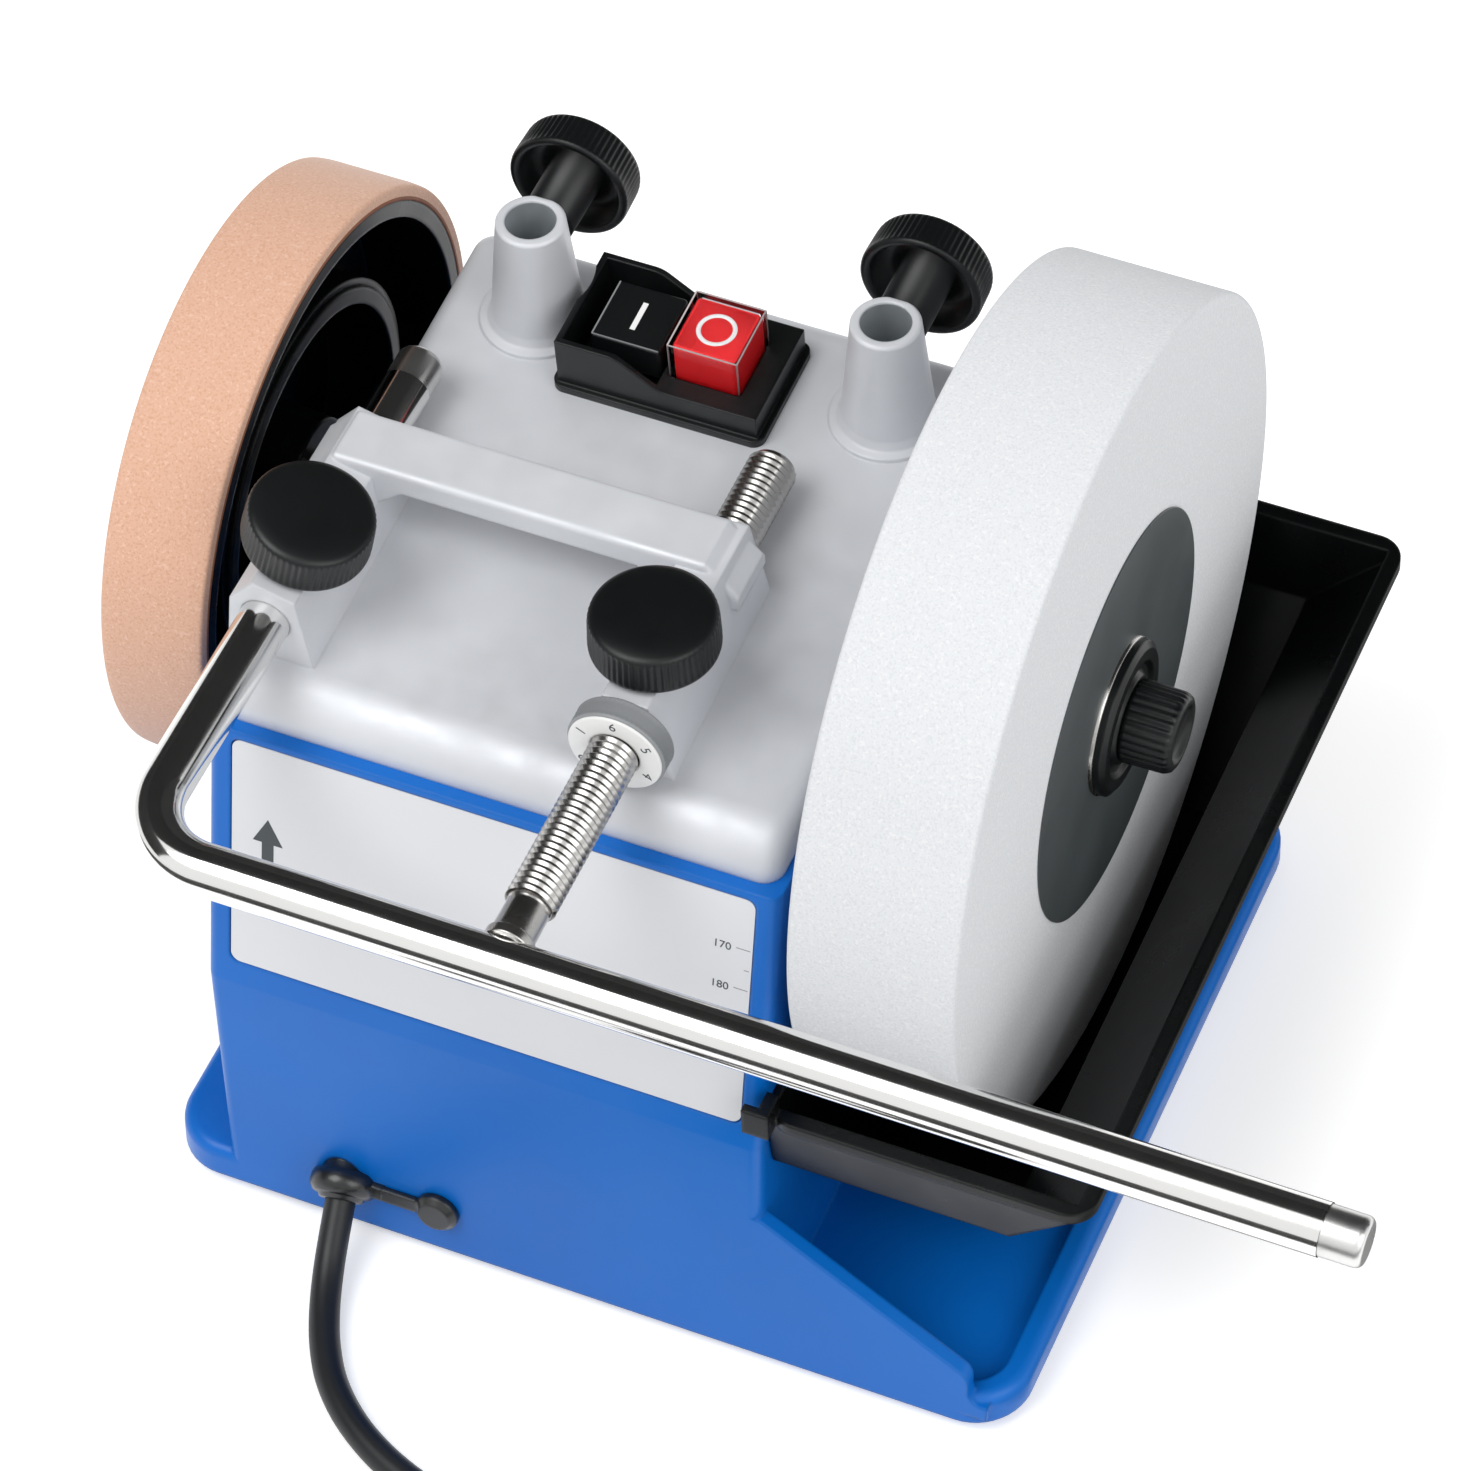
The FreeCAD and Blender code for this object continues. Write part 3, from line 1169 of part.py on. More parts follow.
def rounded_route(points, name):
    """Straight runs joined by tangent arcs, each as large as its two runs allow."""
    edges = []
    radii = []
    start = points[0]
    for before, corner, after in zip(points, points[1:], points[2:]):
        back = unit(before - corner)
        ahead = unit(after - corner)
        turn = math.pi - back.getAngle(ahead)
        setback = 0.45 * min((before - corner).Length, (after - corner).Length)
        radius = setback / math.tan(turn / 2)
        arc_start = corner + back * setback
        arc_end = corner + ahead * setback
        bisector = unit(back + ahead)
        centre_reach = math.hypot(radius, setback)
        middle = corner + bisector * (centre_reach - radius)
        edges.append(Part.LineSegment(start, arc_start).toShape())
        edges.append(Part.Arc(arc_start, middle, arc_end).toShape())
        radii.append(round(radius, 1))
        start = arc_end
    edges.append(Part.LineSegment(start, points[-1]).toShape())
    wire = Part.Wire(edges)
    print(name, "length", round(wire.Length, 1), "radii", radii)
    return wire


def cord_tube(wire, start, direction, name):
    section = Part.Wire(Part.makeCircle(CORD_DIAMETER / 2, start, direction))
    tube = wire.makePipeShell([section], True, False)
    ideal = math.pi * CORD_DIAMETER ** 2 / 4 * wire.Length
    print(name, "volume over section times length", round(tube.Volume / ideal, 4))
    return tube


def coil_nodes():
    """Half-turn points and headings of the coil: in on the lower layer, out on the upper one."""
    pitch = CORD_DIAMETER + COIL_GAP
    half_turns = 2 * COIL_TURNS_PER_LAYER
    low = COIL_LIFT + CORD_DIAMETER / 2
    radii = [COIL_OUTER - pitch / 2 * k for k in range(half_turns + 2)]
    radii += [COIL_OUTER - pitch / 2 * (half_turns - 1 - k) for k in range(half_turns)]
    nodes = []
    for k, radius in enumerate(radii):
        height = low if k <= half_turns else low + pitch
        side = 1 if k % 2 == 0 else -1
        point = COIL_CENTRE + Vector(0, side * radius, height)
        nodes.append((point, Vector(side, 0, 0)))
    return nodes


def arc_from(start, heading, end):
    """The arc that leaves start along a heading and ends at a point."""
    chord = end - start
    angle = heading.getAngle(chord)
    side = unit(heading - unit(chord) * (heading * unit(chord)))
    middle = (start + end) * 0.5 + side * (chord.Length / 2 * math.tan(angle / 2))
    return Part.Arc(start, middle, end).toShape()


def biarc(start, heading, end, end_heading):
    """Two arcs that join two points along their headings."""
    chord = end - start
    total = heading + end_heading
    spread = 2 * (1 - heading * end_heading)
    reach = (-(chord * total) + math.sqrt((chord * total) ** 2 + spread * (chord * chord))) / spread
    joint = (start + end + (heading - end_heading) * reach) * 0.5
    return [arc_from(start, heading, joint), arc_from(end, -end_heading, joint)]


def coil_wire():
    nodes = coil_nodes()
    first, first_heading = nodes[0]
    last, last_heading = nodes[-1]
    edges = [Part.LineSegment(first - first_heading * CORD_DIAMETER, first).toShape()]
    for (point, heading), (target, target_heading) in zip(nodes, nodes[1:]):
        edges += biarc(point, heading, target, target_heading)
    edges.append(Part.LineSegment(last, last + last_heading * CORD_DIAMETER).toShape())
    return Part.Wire(Part.__sortEdges__(edges))


def least_gap(wire):
    """Smallest distance between turns of a tube, measured on points along its path."""
    spacing = 4.0
    count = int(wire.Length / spacing)
    points = wire.discretize(count)
    skip = int(5 * CORD_DIAMETER / spacing)
    least = THROUGH
    for i, point in enumerate(points):
        for other in points[i + skip:]:
            least = min(least, point.distanceToPoint(other))
    return least - CORD_DIAMETER


def save_cord():
    exit_point = GLAND_POINT + unit(GLAND_DIRECTION) * GLAND_LENGTH
    floor = CORD_DIAMETER / 2 + 0.1
    coil_start, coil_heading = coil_nodes()[0]
    coil_start = coil_start - coil_heading * CORD_DIAMETER
    coil_end, end_heading = coil_nodes()[-1]
    coil_end = coil_end + end_heading * CORD_DIAMETER
    free = [
        exit_point,
        exit_point + unit(GLAND_DIRECTION) * 8,
        Vector(GLAND_X + 5.9, BASE_FRONT - 27.0, 4.6),
        Vector(GLAND_X + 10.5, BASE_FRONT - 35.8, floor),
        Vector(GLAND_X + 17.5, BASE_FRONT - 45.0, floor),
        Vector(GLAND_X + 27.5, BASE_FRONT - 53.8, floor),
        Vector(GLAND_X + 40.5, BASE_FRONT - 60.8, floor),
        Vector(GLAND_X + 56.5, BASE_FRONT - 65.6, floor + 0.2),
        Vector(GLAND_X + 71.5, BASE_FRONT - 67.6, floor + 0.8),
        coil_start,
    ]
    wire = rounded_route(free, "cord_free")
    save("cord_free", cord_tube(wire, exit_point, GLAND_DIRECTION, "cord_free"))
    wire = coil_wire()
    print("cord_coil length", round(wire.Length, 1), "least gap", round(least_gap(wire), 2))
    save("cord_coil", cord_tube(wire, coil_start, AXIS_X, "cord_coil"))
    plug_start = coil_end + Vector(-44.0, -1.0, PLUG_RADIUS - coil_end.z)
    tail = [
        coil_end,
        coil_end + Vector(-12.0, 0.0, 0.0),
        plug_start + Vector(14.0, 0.0, 0.0),
        plug_start,
    ]
    wire = rounded_route(tail, "cord_tail")
    save("cord_tail", cord_tube(wire, coil_end, AXIS_X, "cord_tail"))
    save_plug(plug_start)
    save("coil_tie", make_coil_tie())


def save_plug(start):
    boot = PLUG_BOOT_LENGTH
    grip = boot + PLUG_GRIP_LENGTH
    flange = grip + PLUG_FLANGE_LENGTH
    face = flange + PLUG_FACE_LENGTH
    profile = [
        (0, 0),
        (PLUG_BOOT_RADIUS, 0),
        (PLUG_BOOT_RADIUS + 2.5, boot),
        (PLUG_GRIP_RADIUS, boot + 3),
        (PLUG_GRIP_RADIUS - 1.5, grip - 4),
        (PLUG_RADIUS, grip),
        (PLUG_RADIUS, flange),
        (PLUG_FACE_RADIUS, flange + 1),
        (PLUG_FACE_RADIUS, face),
        (0, face),
    ]
    frame = along(start, -AXIS_X)
    save("plug_body", placed(turned_z(profile), frame))
    tip = PIN_RADIUS * 0.5
    pin = turned_z([(0, 0), (PIN_RADIUS, 0), (PIN_RADIUS, PIN_LENGTH - tip), (tip, PIN_LENGTH), (0, PIN_LENGTH)])
    pins = []
    for side in (-1, 1):
        pins.append(placed(pin, frame.multiply(Placement(Vector(0, side * PIN_SPACING / 2, face), Rotation()))))
    save("plug_pins", Part.makeCompound(pins))


def make_coil_tie():
    """A flat band round the bundle of turns."""
    pitch = CORD_DIAMETER + COIL_GAP
    half = CORD_DIAMETER / 2
    inner = COIL_OUTER - pitch * (COIL_TURNS_PER_LAYER + 0.5) - half - SMALL_GAP
    outer = COIL_OUTER + half + SMALL_GAP
    low = COIL_LIFT - SMALL_GAP
    high = COIL_LIFT + 2 * CORD_DIAMETER + COIL_GAP + SMALL_GAP
    w = TIE_WIDTH / 2
    t = TIE_THICKNESS
    band = block(inner - t, outer + t, -w, w, low - t, high + t).cut(block(inner, outer, -w, w, low, high))
    turn = Rotation(AXIS_Z, TIE_ANGLE)
    return placed(band, Placement(COIL_CENTRE, turn))


save("housing", make_housing())
save("bottom_cover", make_bottom_cover())
save("cover_screws", make_cover_screws())
save("rubber_feet", make_feet())
save("front_plate", plate_solid(0, -PLATE_RECESS, -PLATE_RECESS + PLATE_THICKNESS))
save("top_casting", make_casting())
save("support_bar", make_support_bar())
save("threaded_leg", make_threaded_leg())
save("micro_nut", make_micro_nut())
save("micro_dial", make_micro_dial())
save("switch_body", make_switch_body())
save("on_button", button(ON_X, ON_SIZE, ON_TOP))
save("off_button", button(OFF_X, OFF_SIZE, OFF_TOP))
save("button_cap", make_button_cap())
save("water_trough", make_trough())
save("cord_gland", make_gland())
save("gland_strap", make_gland_strap())
save_knobs()
save_shaft_parts()
save_motor()
save_electrics()
save_cord()
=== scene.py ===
"""Looks of the wet grinding sharpener, in the frame of its CAD model."""

import json
import math

import bpy
from mathutils import Matrix, Vector


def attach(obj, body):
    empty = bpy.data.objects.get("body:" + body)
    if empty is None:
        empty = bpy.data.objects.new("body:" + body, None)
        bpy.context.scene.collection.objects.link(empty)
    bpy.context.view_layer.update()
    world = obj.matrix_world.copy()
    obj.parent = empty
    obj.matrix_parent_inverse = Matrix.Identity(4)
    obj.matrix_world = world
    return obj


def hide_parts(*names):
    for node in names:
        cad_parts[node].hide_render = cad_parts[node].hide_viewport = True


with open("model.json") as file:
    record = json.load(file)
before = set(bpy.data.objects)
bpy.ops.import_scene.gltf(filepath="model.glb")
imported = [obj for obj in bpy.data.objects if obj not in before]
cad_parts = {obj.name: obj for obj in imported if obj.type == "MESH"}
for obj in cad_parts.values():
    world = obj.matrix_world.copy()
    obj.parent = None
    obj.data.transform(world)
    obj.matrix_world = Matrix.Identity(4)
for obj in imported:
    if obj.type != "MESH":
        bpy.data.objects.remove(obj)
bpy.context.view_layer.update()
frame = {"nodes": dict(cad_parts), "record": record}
MM = 0.001

# Places and sizes shared with the CAD model, in millimetres and degrees
AXLE_Y = 19.0
AXLE_Z = 129.0
LEG_LEFT_X = -84.0
LEG_RIGHT_X = 4.4
LEG_Z = 173.0
LEG_RADIUS = 6.0
LEG_END = 26.0
BAR_Y = -127.0
BAR_END = 201.8
BAR_BEND = 18.0
BAR_TIP = 9.5
NECK_END = -111.0
CLAMP_FRONT = -58.0
FACET_HEIGHT = 10.0
FRONT_SCREW_Y = -41.0
LEFT_SCREW_TILT = 15.0
SLEEVE_LEFT_X = -68.1
SLEEVE_RIGHT_X = 20.3
SLEEVE_Y = 55.0
SLEEVE_TOP = 197.4
SLEEVE_FLAT_Y = 62.4
SLEEVE_SCREW_Z = 188.9
FRONT_HUB = 1.5
REAR_HUB = 12.5
STONE_FACE = 50.5
STONE_WIDTH = 40.0
STONE_RADIUS = 100.0
STONE_BORE = 6.1
WASHER_START = 90.9
WASHER_END = 94.3
STONE_NUT_LENGTH = 12.5
HONING_FACE = -106.5
HONING_WIDTH = 26.0
HONING_RADIUS = 72.5
LEATHER_THICKNESS = 4.0
MICRO_NUT_LENGTH = 6.0
MICRO_NUT_RADIUS = 11.8
MICRO_NUT_GAP = 0.3
TOP_SLOPE = 2.7
SWITCH_ORIGIN = (-29.8, 51.2, 165.42)
ON_X = -9.9
ON_TOP = 15.0
ON_SIZE = 17.4
OFF_X = 9.8
OFF_TOP = 18.0
OFF_SIZE = 15.8
BUTTON_FOOT = 6.0
CAP_WALL = 1.0
PLATE_MIDDLE_X = -23.85
PLATE_SURFACE = -0.2
KINK_Y = -89.41
FRONT_KINK = 75.0
UPPER_FRONT_LEAN = 13.2
LOWER_FRONT_LEAN = 6.1
CORD_RADIUS = 3.75
CORD_EXIT = (-60.66, -98.56, 15.75)
GLAND_POINT = (-61.5, -93.0, 19.0)
GLAND_DIRECTION = (0.13, -0.855, -0.50)
STRAP_PLACE = (-61.5, -95.5, 18.0)
COIL_CENTRE = (32.0, -218.0)

# Details that only the scene has, in millimetres
KNOB_RIBS = 62
HAND_NUT_RIBS = 30
MICRO_NUT_RIBS = 60
PRINT_HEIGHT = 0.04
MARK_HEIGHT = 0.05
BUTTON_MARK_HEIGHT = 0.08
TICK_HALF = 0.1

# Camera, in millimetres and degrees
CAMERA_PLACE = Vector((421.6, -868.0, 1289.1)) * MM
CAMERA_AZIMUTH = 25.76
CAMERA_ELEVATION = 50.88
CAMERA_ROLL = -3.43
CAMERA_LENS = 160.1
SENSOR_WIDTH = 36.0

# Light and floor, in metres
WORLD_LIGHT = 0.62
LAMP_TARGET = (0, 0, 0.1)
FLOOR_REACH = 6.0
FLOOR_SHADE = 0.92
FLOOR_GLOW = 0.35
DARK_FLAG = 0.021
GREY_FLAG = 0.24
FLAG_TOP = 1.75
FLAG_REAR = 1.5
FLAG_LIFT = 0.002
GRAIN_DEPTH = 0.0001


# Camera, light and floor

def make_camera():
    azimuth = math.radians(CAMERA_AZIMUTH)
    elevation = math.radians(CAMERA_ELEVATION)
    roll = math.radians(CAMERA_ROLL)
    level = math.cos(elevation)
    back = Vector((math.sin(azimuth) * level, -math.cos(azimuth) * level, math.sin(elevation)))
    right = (-back).cross(Vector((0, 0, 1))).normalized()
    up = right.cross(-back)
    across = right * math.cos(roll) + up * math.sin(roll)
    rise = up * math.cos(roll) - right * math.sin(roll)
    data = bpy.data.cameras.new("photo_camera")
    data.lens = CAMERA_LENS
    data.sensor_width = SENSOR_WIDTH
    data.clip_end = 20.0
    camera = bpy.data.objects.new("photo_camera", data)
    turn = Matrix((across, rise, back)).transposed().to_4x4()
    camera.matrix_world = Matrix.Translation(CAMERA_PLACE) @ turn
    bpy.context.collection.objects.link(camera)
    bpy.context.scene.camera = camera


def seen_directly(tree):
    """A factor that is 1 for rays that show the background itself: camera, mirror and glass rays."""
    path = tree.nodes.new("ShaderNodeLightPath")
    total = path.outputs["Is Camera Ray"]
    for name in ("Is Glossy Ray", "Is Transmission Ray"):
        more = tree.nodes.new("ShaderNodeMath")
        more.operation = "MAXIMUM"
        tree.links.new(total, more.inputs[0])
        tree.links.new(path.outputs[name], more.inputs[1])
        total = more.outputs[0]
    return total


def make_world():
    """Soft even light from a sky that looks white."""
    world = bpy.data.worlds.new("studio")
    world.use_nodes = True
    tree = world.node_tree
    light = tree.nodes["Background"]
    light.inputs["Color"].default_value = (1.0, 1.0, 1.0, 1.0)
    light.inputs["Strength"].default_value = WORLD_LIGHT
    white = tree.nodes.new("ShaderNodeBackground")
    white.inputs["Color"].default_value = (1.0, 1.0, 1.0, 1.0)
    white.inputs["Strength"].default_value = 1.0
    mix = tree.nodes.new("ShaderNodeMixShader")
    tree.links.new(seen_directly(tree), mix.inputs[0])
    tree.links.new(light.outputs[0], mix.inputs[1])
    tree.links.new(white.outputs[0], mix.inputs[2])
    tree.links.new(mix.outputs[0], tree.nodes["World Output"].inputs["Surface"])
    bpy.context.scene.world = world


def level_sheet(x0, x1, y0, y1, z):
    return [(x0, y0, z), (x1, y0, z), (x1, y1, z), (x0, y1, z)]


def upright_sheet(start, end, low, high):
    return [(*start, low), (*end, low), (*end, high), (*start, high)]


def plane(name, corners):
    mesh = bpy.data.meshes.new(name)
    mesh.from_pydata(corners, [], [(0, 1, 2, 3)])
    obj = bpy.data.objects.new(name, mesh)
    bpy.context.collection.objects.link(obj)
    return obj


def make_floor():
    """A pale floor that keeps its shadows and is white elsewhere."""
    floor = plane("floor", level_sheet(-FLOOR_REACH, FLOOR_REACH, -FLOOR_REACH, FLOOR_REACH, 0))
    mat = bpy.data.materials.new("floor")
    mat.use_nodes = True
    tree = mat.node_tree
    tree.nodes.remove(tree.nodes["Principled BSDF"])
    diffuse = tree.nodes.new("ShaderNodeBsdfDiffuse")
    diffuse.inputs["Color"].default_value = (FLOOR_SHADE, FLOOR_SHADE, FLOOR_SHADE, 1.0)
    glow = tree.nodes.new("ShaderNodeEmission")
    tree.links.new(seen_directly(tree), glow.inputs["Strength"])
    glow.inputs["Color"].default_value = (FLOOR_GLOW, FLOOR_GLOW, FLOOR_GLOW, 1.0)
    add = tree.nodes.new("ShaderNodeAddShader")
    tree.links.new(diffuse.outputs[0], add.inputs[0])
    tree.links.new(glow.outputs[0], add.inputs[1])
    tree.links.new(add.outputs[0], tree.nodes["Material Output"].inputs["Surface"])
    floor.data.materials.append(mat)


def make_flag(name, shade, corners):
    mat = bpy.data.materials.new(name)
    mat.use_nodes = True
    surface = mat.node_tree.nodes["Principled BSDF"]
    surface.inputs["Base Color"].default_value = (shade, shade, shade, 1.0)
    surface.inputs["Roughness"].default_value = 1.0
    flag = plane(name, corners)
    flag.data.materials.append(mat)
    flag.visible_camera = False
    flag.visible_diffuse = False
    flag.visible_transmission = False
    flag.visible_shadow = False


def make_flags():
    """Studio flags that only mirror-like surfaces see, as the bands on the bright bar show."""
    make_flag("flag_above", DARK_FLAG, level_sheet(-2.2, 2.2, -0.2, FLAG_REAR, FLAG_TOP))
    make_flag("flag_front", DARK_FLAG, level_sheet(-3.0, 3.0, -0.47, -4.0, FLAG_LIFT))
    make_flag("flag_rear", DARK_FLAG, upright_sheet((-2.2, FLAG_REAR), (2.2, FLAG_REAR), 0.3, FLAG_TOP))
    make_flag("flag_left", DARK_FLAG, upright_sheet((-1.6, -1.2), (-1.6, 1.2), 0.45, FLAG_TOP))
    make_flag("flag_right", GREY_FLAG, level_sheet(0.112, 0.4, -0.12, 0.2, FLAG_LIFT))


def make_lamp(name, place, size, power):
    data = bpy.data.lights.new(name, "AREA")
    data.shape = "SQUARE"
    data.size = size
    data.energy = power
    lamp = bpy.data.objects.new(name, data)
    lamp.location = place
    lamp.rotation_euler = (Vector(LAMP_TARGET) - Vector(place)).to_track_quat("-Z", "Y").to_euler()
    bpy.context.collection.objects.link(lamp)


# Mesh helpers

def mesh_piece(name, verts, faces, material, body):
    """A smooth piece of the object and the body it rides on."""
    mesh = bpy.data.meshes.new(name)
    mesh.from_pydata(verts, [], faces)
    for polygon in mesh.polygons:
        polygon.use_smooth = True
    mesh.materials.append(material)
    obj = bpy.data.objects.new(name, mesh)
    bpy.context.collection.objects.link(obj)
    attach(obj, body)
    return obj


def lathe(profile, segments, matrix, wave=None):
    """Vertices and faces of a (radius, height) outline in millimetres turned about the local Z axis."""
    verts = []
    faces = []
    rows = []
    for index, (radius, height) in enumerate(profile):
        row = []
        if radius < 1e-6:
            row = [len(verts)] * segments
            verts.append(matrix @ (Vector((0, 0, height)) * MM))
        else:
            for step in range(segments):
                angle = 2 * math.pi * step / segments
                reach = radius + (wave(index, angle) if wave else 0.0)
                row.append(len(verts))
                point = Vector((reach * math.cos(angle), reach * math.sin(angle), height))
                verts.append(matrix @ (point * MM))
        rows.append(row)
    for low, high in zip(rows, rows[1:]):
        for step in range(segments):
            after = (step + 1) % segments
            corners = [low[step], low[after], high[after], high[step]]
            face = [corner for n, corner in enumerate(corners) if corner not in corners[:n]]
            if len(face) > 2:
                faces.append(face)
    return verts, faces


def shift(x, y, z):
    return Matrix.Translation(Vector((x, y, z)) * MM)


def aimed(place, axis):
    """Matrix that sets the local Z axis along a direction at a place in millimetres."""
    turn = Vector(axis).to_track_quat("Z", "Y").to_matrix().to_4x4()
    return shift(*place) @ turn


def axle(x):
    return aimed((x, AXLE_Y, AXLE_Z), (1, 0, 0))


def rounded(points, radius, steps=5):
    """An outline with each inner corner replaced by a short curve."""
    result = [points[0]]
    for before, corner, after in zip(points, points[1:], points[2:]):
        a, b, c = Vector(before), Vector(corner), Vector(after)
        reach = min(radius, 0.45 * (a - b).length, 0.45 * (c - b).length)
        start = b + (a - b).normalized() * reach
        end = b + (c - b).normalized() * reach
        for step in range(steps + 1):
            t = step / steps
            point = start * (1 - t) ** 2 + b * (2 * t * (1 - t)) + end * t ** 2
            result.append((point.x, point.y))
    result.append(points[-1])
    return result


def plate_piece(name, outline, matrix, thickness, material, body):
    """A flat piece with an outline in millimetres, standing proud of its surface."""
    count = len(outline)
    verts = [matrix @ (Vector((x, y, z)) * MM) for z in (0.0, thickness) for x, y in outline]
    faces = [tuple(range(count, 2 * count)), tuple(reversed(range(count)))]
    for n in range(count):
        after = (n + 1) % count
        faces.append((n, after, count + after, count + n))
    obj = mesh_piece(name, verts, faces, material, body)
    for polygon in obj.data.polygons:
        polygon.use_smooth = False


def make_text(name, words, size, matrix, material, body):
    """Plain raised figures as a mesh, centred on a matrix."""
    curve = bpy.data.curves.new(name, "FONT")
    curve.body = words
    curve.size = size * MM
    curve.extrude = PRINT_HEIGHT * MM
    curve.align_x = "CENTER"
    curve.align_y = "CENTER"
    shape = bpy.data.objects.new(name + "_outline", curve)
    mesh = bpy.data.meshes.new_from_object(shape)
    bpy.data.objects.remove(shape)
    mesh.transform(matrix)
    mesh.materials.clear()
    mesh.materials.append(material)
    obj = bpy.data.objects.new(name, mesh)
    bpy.context.collection.objects.link(obj)
    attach(obj, body)


# Materials

def new_material(name, color, roughness, metallic=0.0):
    mat = bpy.data.materials.new(name)
    mat.use_nodes = True
    shader = mat.node_tree.nodes["Principled BSDF"]
    shader.inputs["Base Color"].default_value = (*color, 1.0)
    shader.inputs["Roughness"].default_value = roughness
    shader.inputs["Metallic"].default_value = metallic
    return mat, mat.node_tree, shader


def noise(tree, scale, detail=2.0, stretch=(1.0, 1.0, 1.0)):
    """Noise over the object's own coordinates, scale in waves per metre."""
    coords = tree.nodes.new("ShaderNodeTexCoord")
    mapping = tree.nodes.new("ShaderNodeMapping")
    mapping.inputs["Scale"].default_value = stretch
    texture = tree.nodes.new("ShaderNodeTexNoise")
    texture.inputs["Scale"].default_value = scale
    texture.inputs["Detail"].default_value = detail
    tree.links.new(coords.outputs["Object"], mapping.inputs["Vector"])
    tree.links.new(mapping.outputs["Vector"], texture.inputs["Vector"])
    return texture.outputs["Fac"]


def ramp(tree, factor, low, high, start=0.35, end=0.65):
    """Noise turned into a drift between two colours."""
    node = tree.nodes.new("ShaderNodeValToRGB")
    node.color_ramp.elements[0].position = start
    node.color_ramp.elements[0].color = (*low, 1.0)
    node.color_ramp.elements[1].position = end
    node.color_ramp.elements[1].color = (*high, 1.0)
    tree.links.new(factor, node.inputs["Fac"])
    return node.outputs["Color"]


def spread(tree, factor, low, high):
    """Noise mapped onto a range of values."""
    node = tree.nodes.new("ShaderNodeMapRange")
    node.inputs["From Min"].default_value = 0.3
    node.inputs["From Max"].default_value = 0.7
    node.inputs["To Min"].default_value = low
    node.inputs["To Max"].default_value = high
    tree.links.new(factor, node.inputs["Value"])
    return node.outputs["Result"]


def finish_surface(tree, shader, height, strength, distance, edge=0.0):
    """Bump from a height, over edges softened by a radius in metres."""
    bump = tree.nodes.new("ShaderNodeBump")
    bump.inputs["Strength"].default_value = strength
    bump.inputs["Distance"].default_value = distance
    tree.links.new(height, bump.inputs["Height"])
    if edge:
        bevel = tree.nodes.new("ShaderNodeBevel")
        bevel.inputs["Radius"].default_value = edge
        bevel.samples = 6
        tree.links.new(bevel.outputs["Normal"], bump.inputs["Normal"])
    tree.links.new(bump.outputs["Normal"], shader.inputs["Normal"])


def moulded(name, low, high, roughness, grain=1400.0, strength=0.08, edge=0.0006, coat=0.0, gloss=0.5):
    """Moulded plastic: slight colour drift, uneven gloss and a fine grain."""
    mat, tree, shader = new_material(name, low, roughness)
    tint = ramp(tree, noise(tree, scale=14.0, detail=3.0), low, high)
    tree.links.new(tint, shader.inputs["Base Color"])
    patches = noise(tree, scale=60.0, detail=4.0)
    dullness = spread(tree, patches, low=roughness - 0.05, high=roughness + 0.05)
    tree.links.new(dullness, shader.inputs["Roughness"])
    shader.inputs["Specular IOR Level"].default_value = gloss
    shader.inputs["Coat Weight"].default_value = coat
    shader.inputs["Coat Roughness"].default_value = 0.18
    finish_surface(tree, shader, noise(tree, grain), strength, GRAIN_DEPTH, edge)
    return mat


def printed(name, low, high, roughness):
    """A printed or painted surface: almost smooth, with sharp edges."""
    return moulded(name, low, high, roughness, grain=1500.0, strength=0.03, edge=0.0)


def metal(name, low, high, roughness, metallic=1.0, grain=2500.0, strength=0.05, edge=0.0, stretch=(1, 1, 1)):
    """Bare metal: slight colour drift, uneven polish and a fine grain."""
    mat, tree, shader = new_material(name, low, roughness, metallic)
    tint = ramp(tree, noise(tree, scale=25.0, detail=4.0), low, high)
    tree.links.new(tint, shader.inputs["Base Color"])
    patches = noise(tree, scale=90.0, detail=4.0)
    dullness = spread(tree, patches, low=roughness * 0.8, high=roughness * 1.25)
    tree.links.new(dullness, shader.inputs["Roughness"])
    finish_surface(tree, shader, noise(tree, grain, stretch=stretch), strength, GRAIN_DEPTH, edge)
    return mat


def speckled(tree, shader, base, dark, light, scale):
    """Fine dark and light specks over a base colour."""
    fine = ramp(tree, noise(tree, scale), dark, base, start=0.36, end=0.50)
    coarse = noise(tree, scale * 0.7, detail=1.0)
    specks = ramp(tree, coarse, low=(0, 0, 0), high=(1, 1, 1), start=0.58, end=0.70)
    pale = tree.nodes.new("ShaderNodeMix")
    pale.data_type = "RGBA"
    tree.links.new(specks, pale.inputs["Factor"])
    tree.links.new(fine, pale.inputs[6])
    pale.inputs[7].default_value = (*light, 1.0)
    tree.links.new(pale.outputs[2], shader.inputs["Base Color"])


def make_stone_material():
    mat, tree, shader = new_material("stone", (0.70, 0.71, 0.72), 0.85)
    speckled(tree, shader, base=(0.69, 0.705, 0.725), dark=(0.63, 0.645, 0.665),
             light=(0.74, 0.75, 0.765), scale=1700.0)
    grit = noise(tree, scale=1900.0, detail=3.0)
    finish_surface(tree, shader, grit, strength=0.12, distance=0.0002)
    return mat


def make_leather_material():
    mat, tree, shader = new_material("leather", (0.66, 0.36, 0.22), 0.75)
    speckled(tree, shader, base=(0.69, 0.41, 0.285), dark=(0.62, 0.345, 0.225),
             light=(0.74, 0.47, 0.345), scale=1700.0)
    shader.inputs["Sheen Weight"].default_value = 0.25
    nap = noise(tree, scale=1300.0, detail=4.0)
    finish_surface(tree, shader, nap, strength=0.25, distance=0.0003)
    return mat


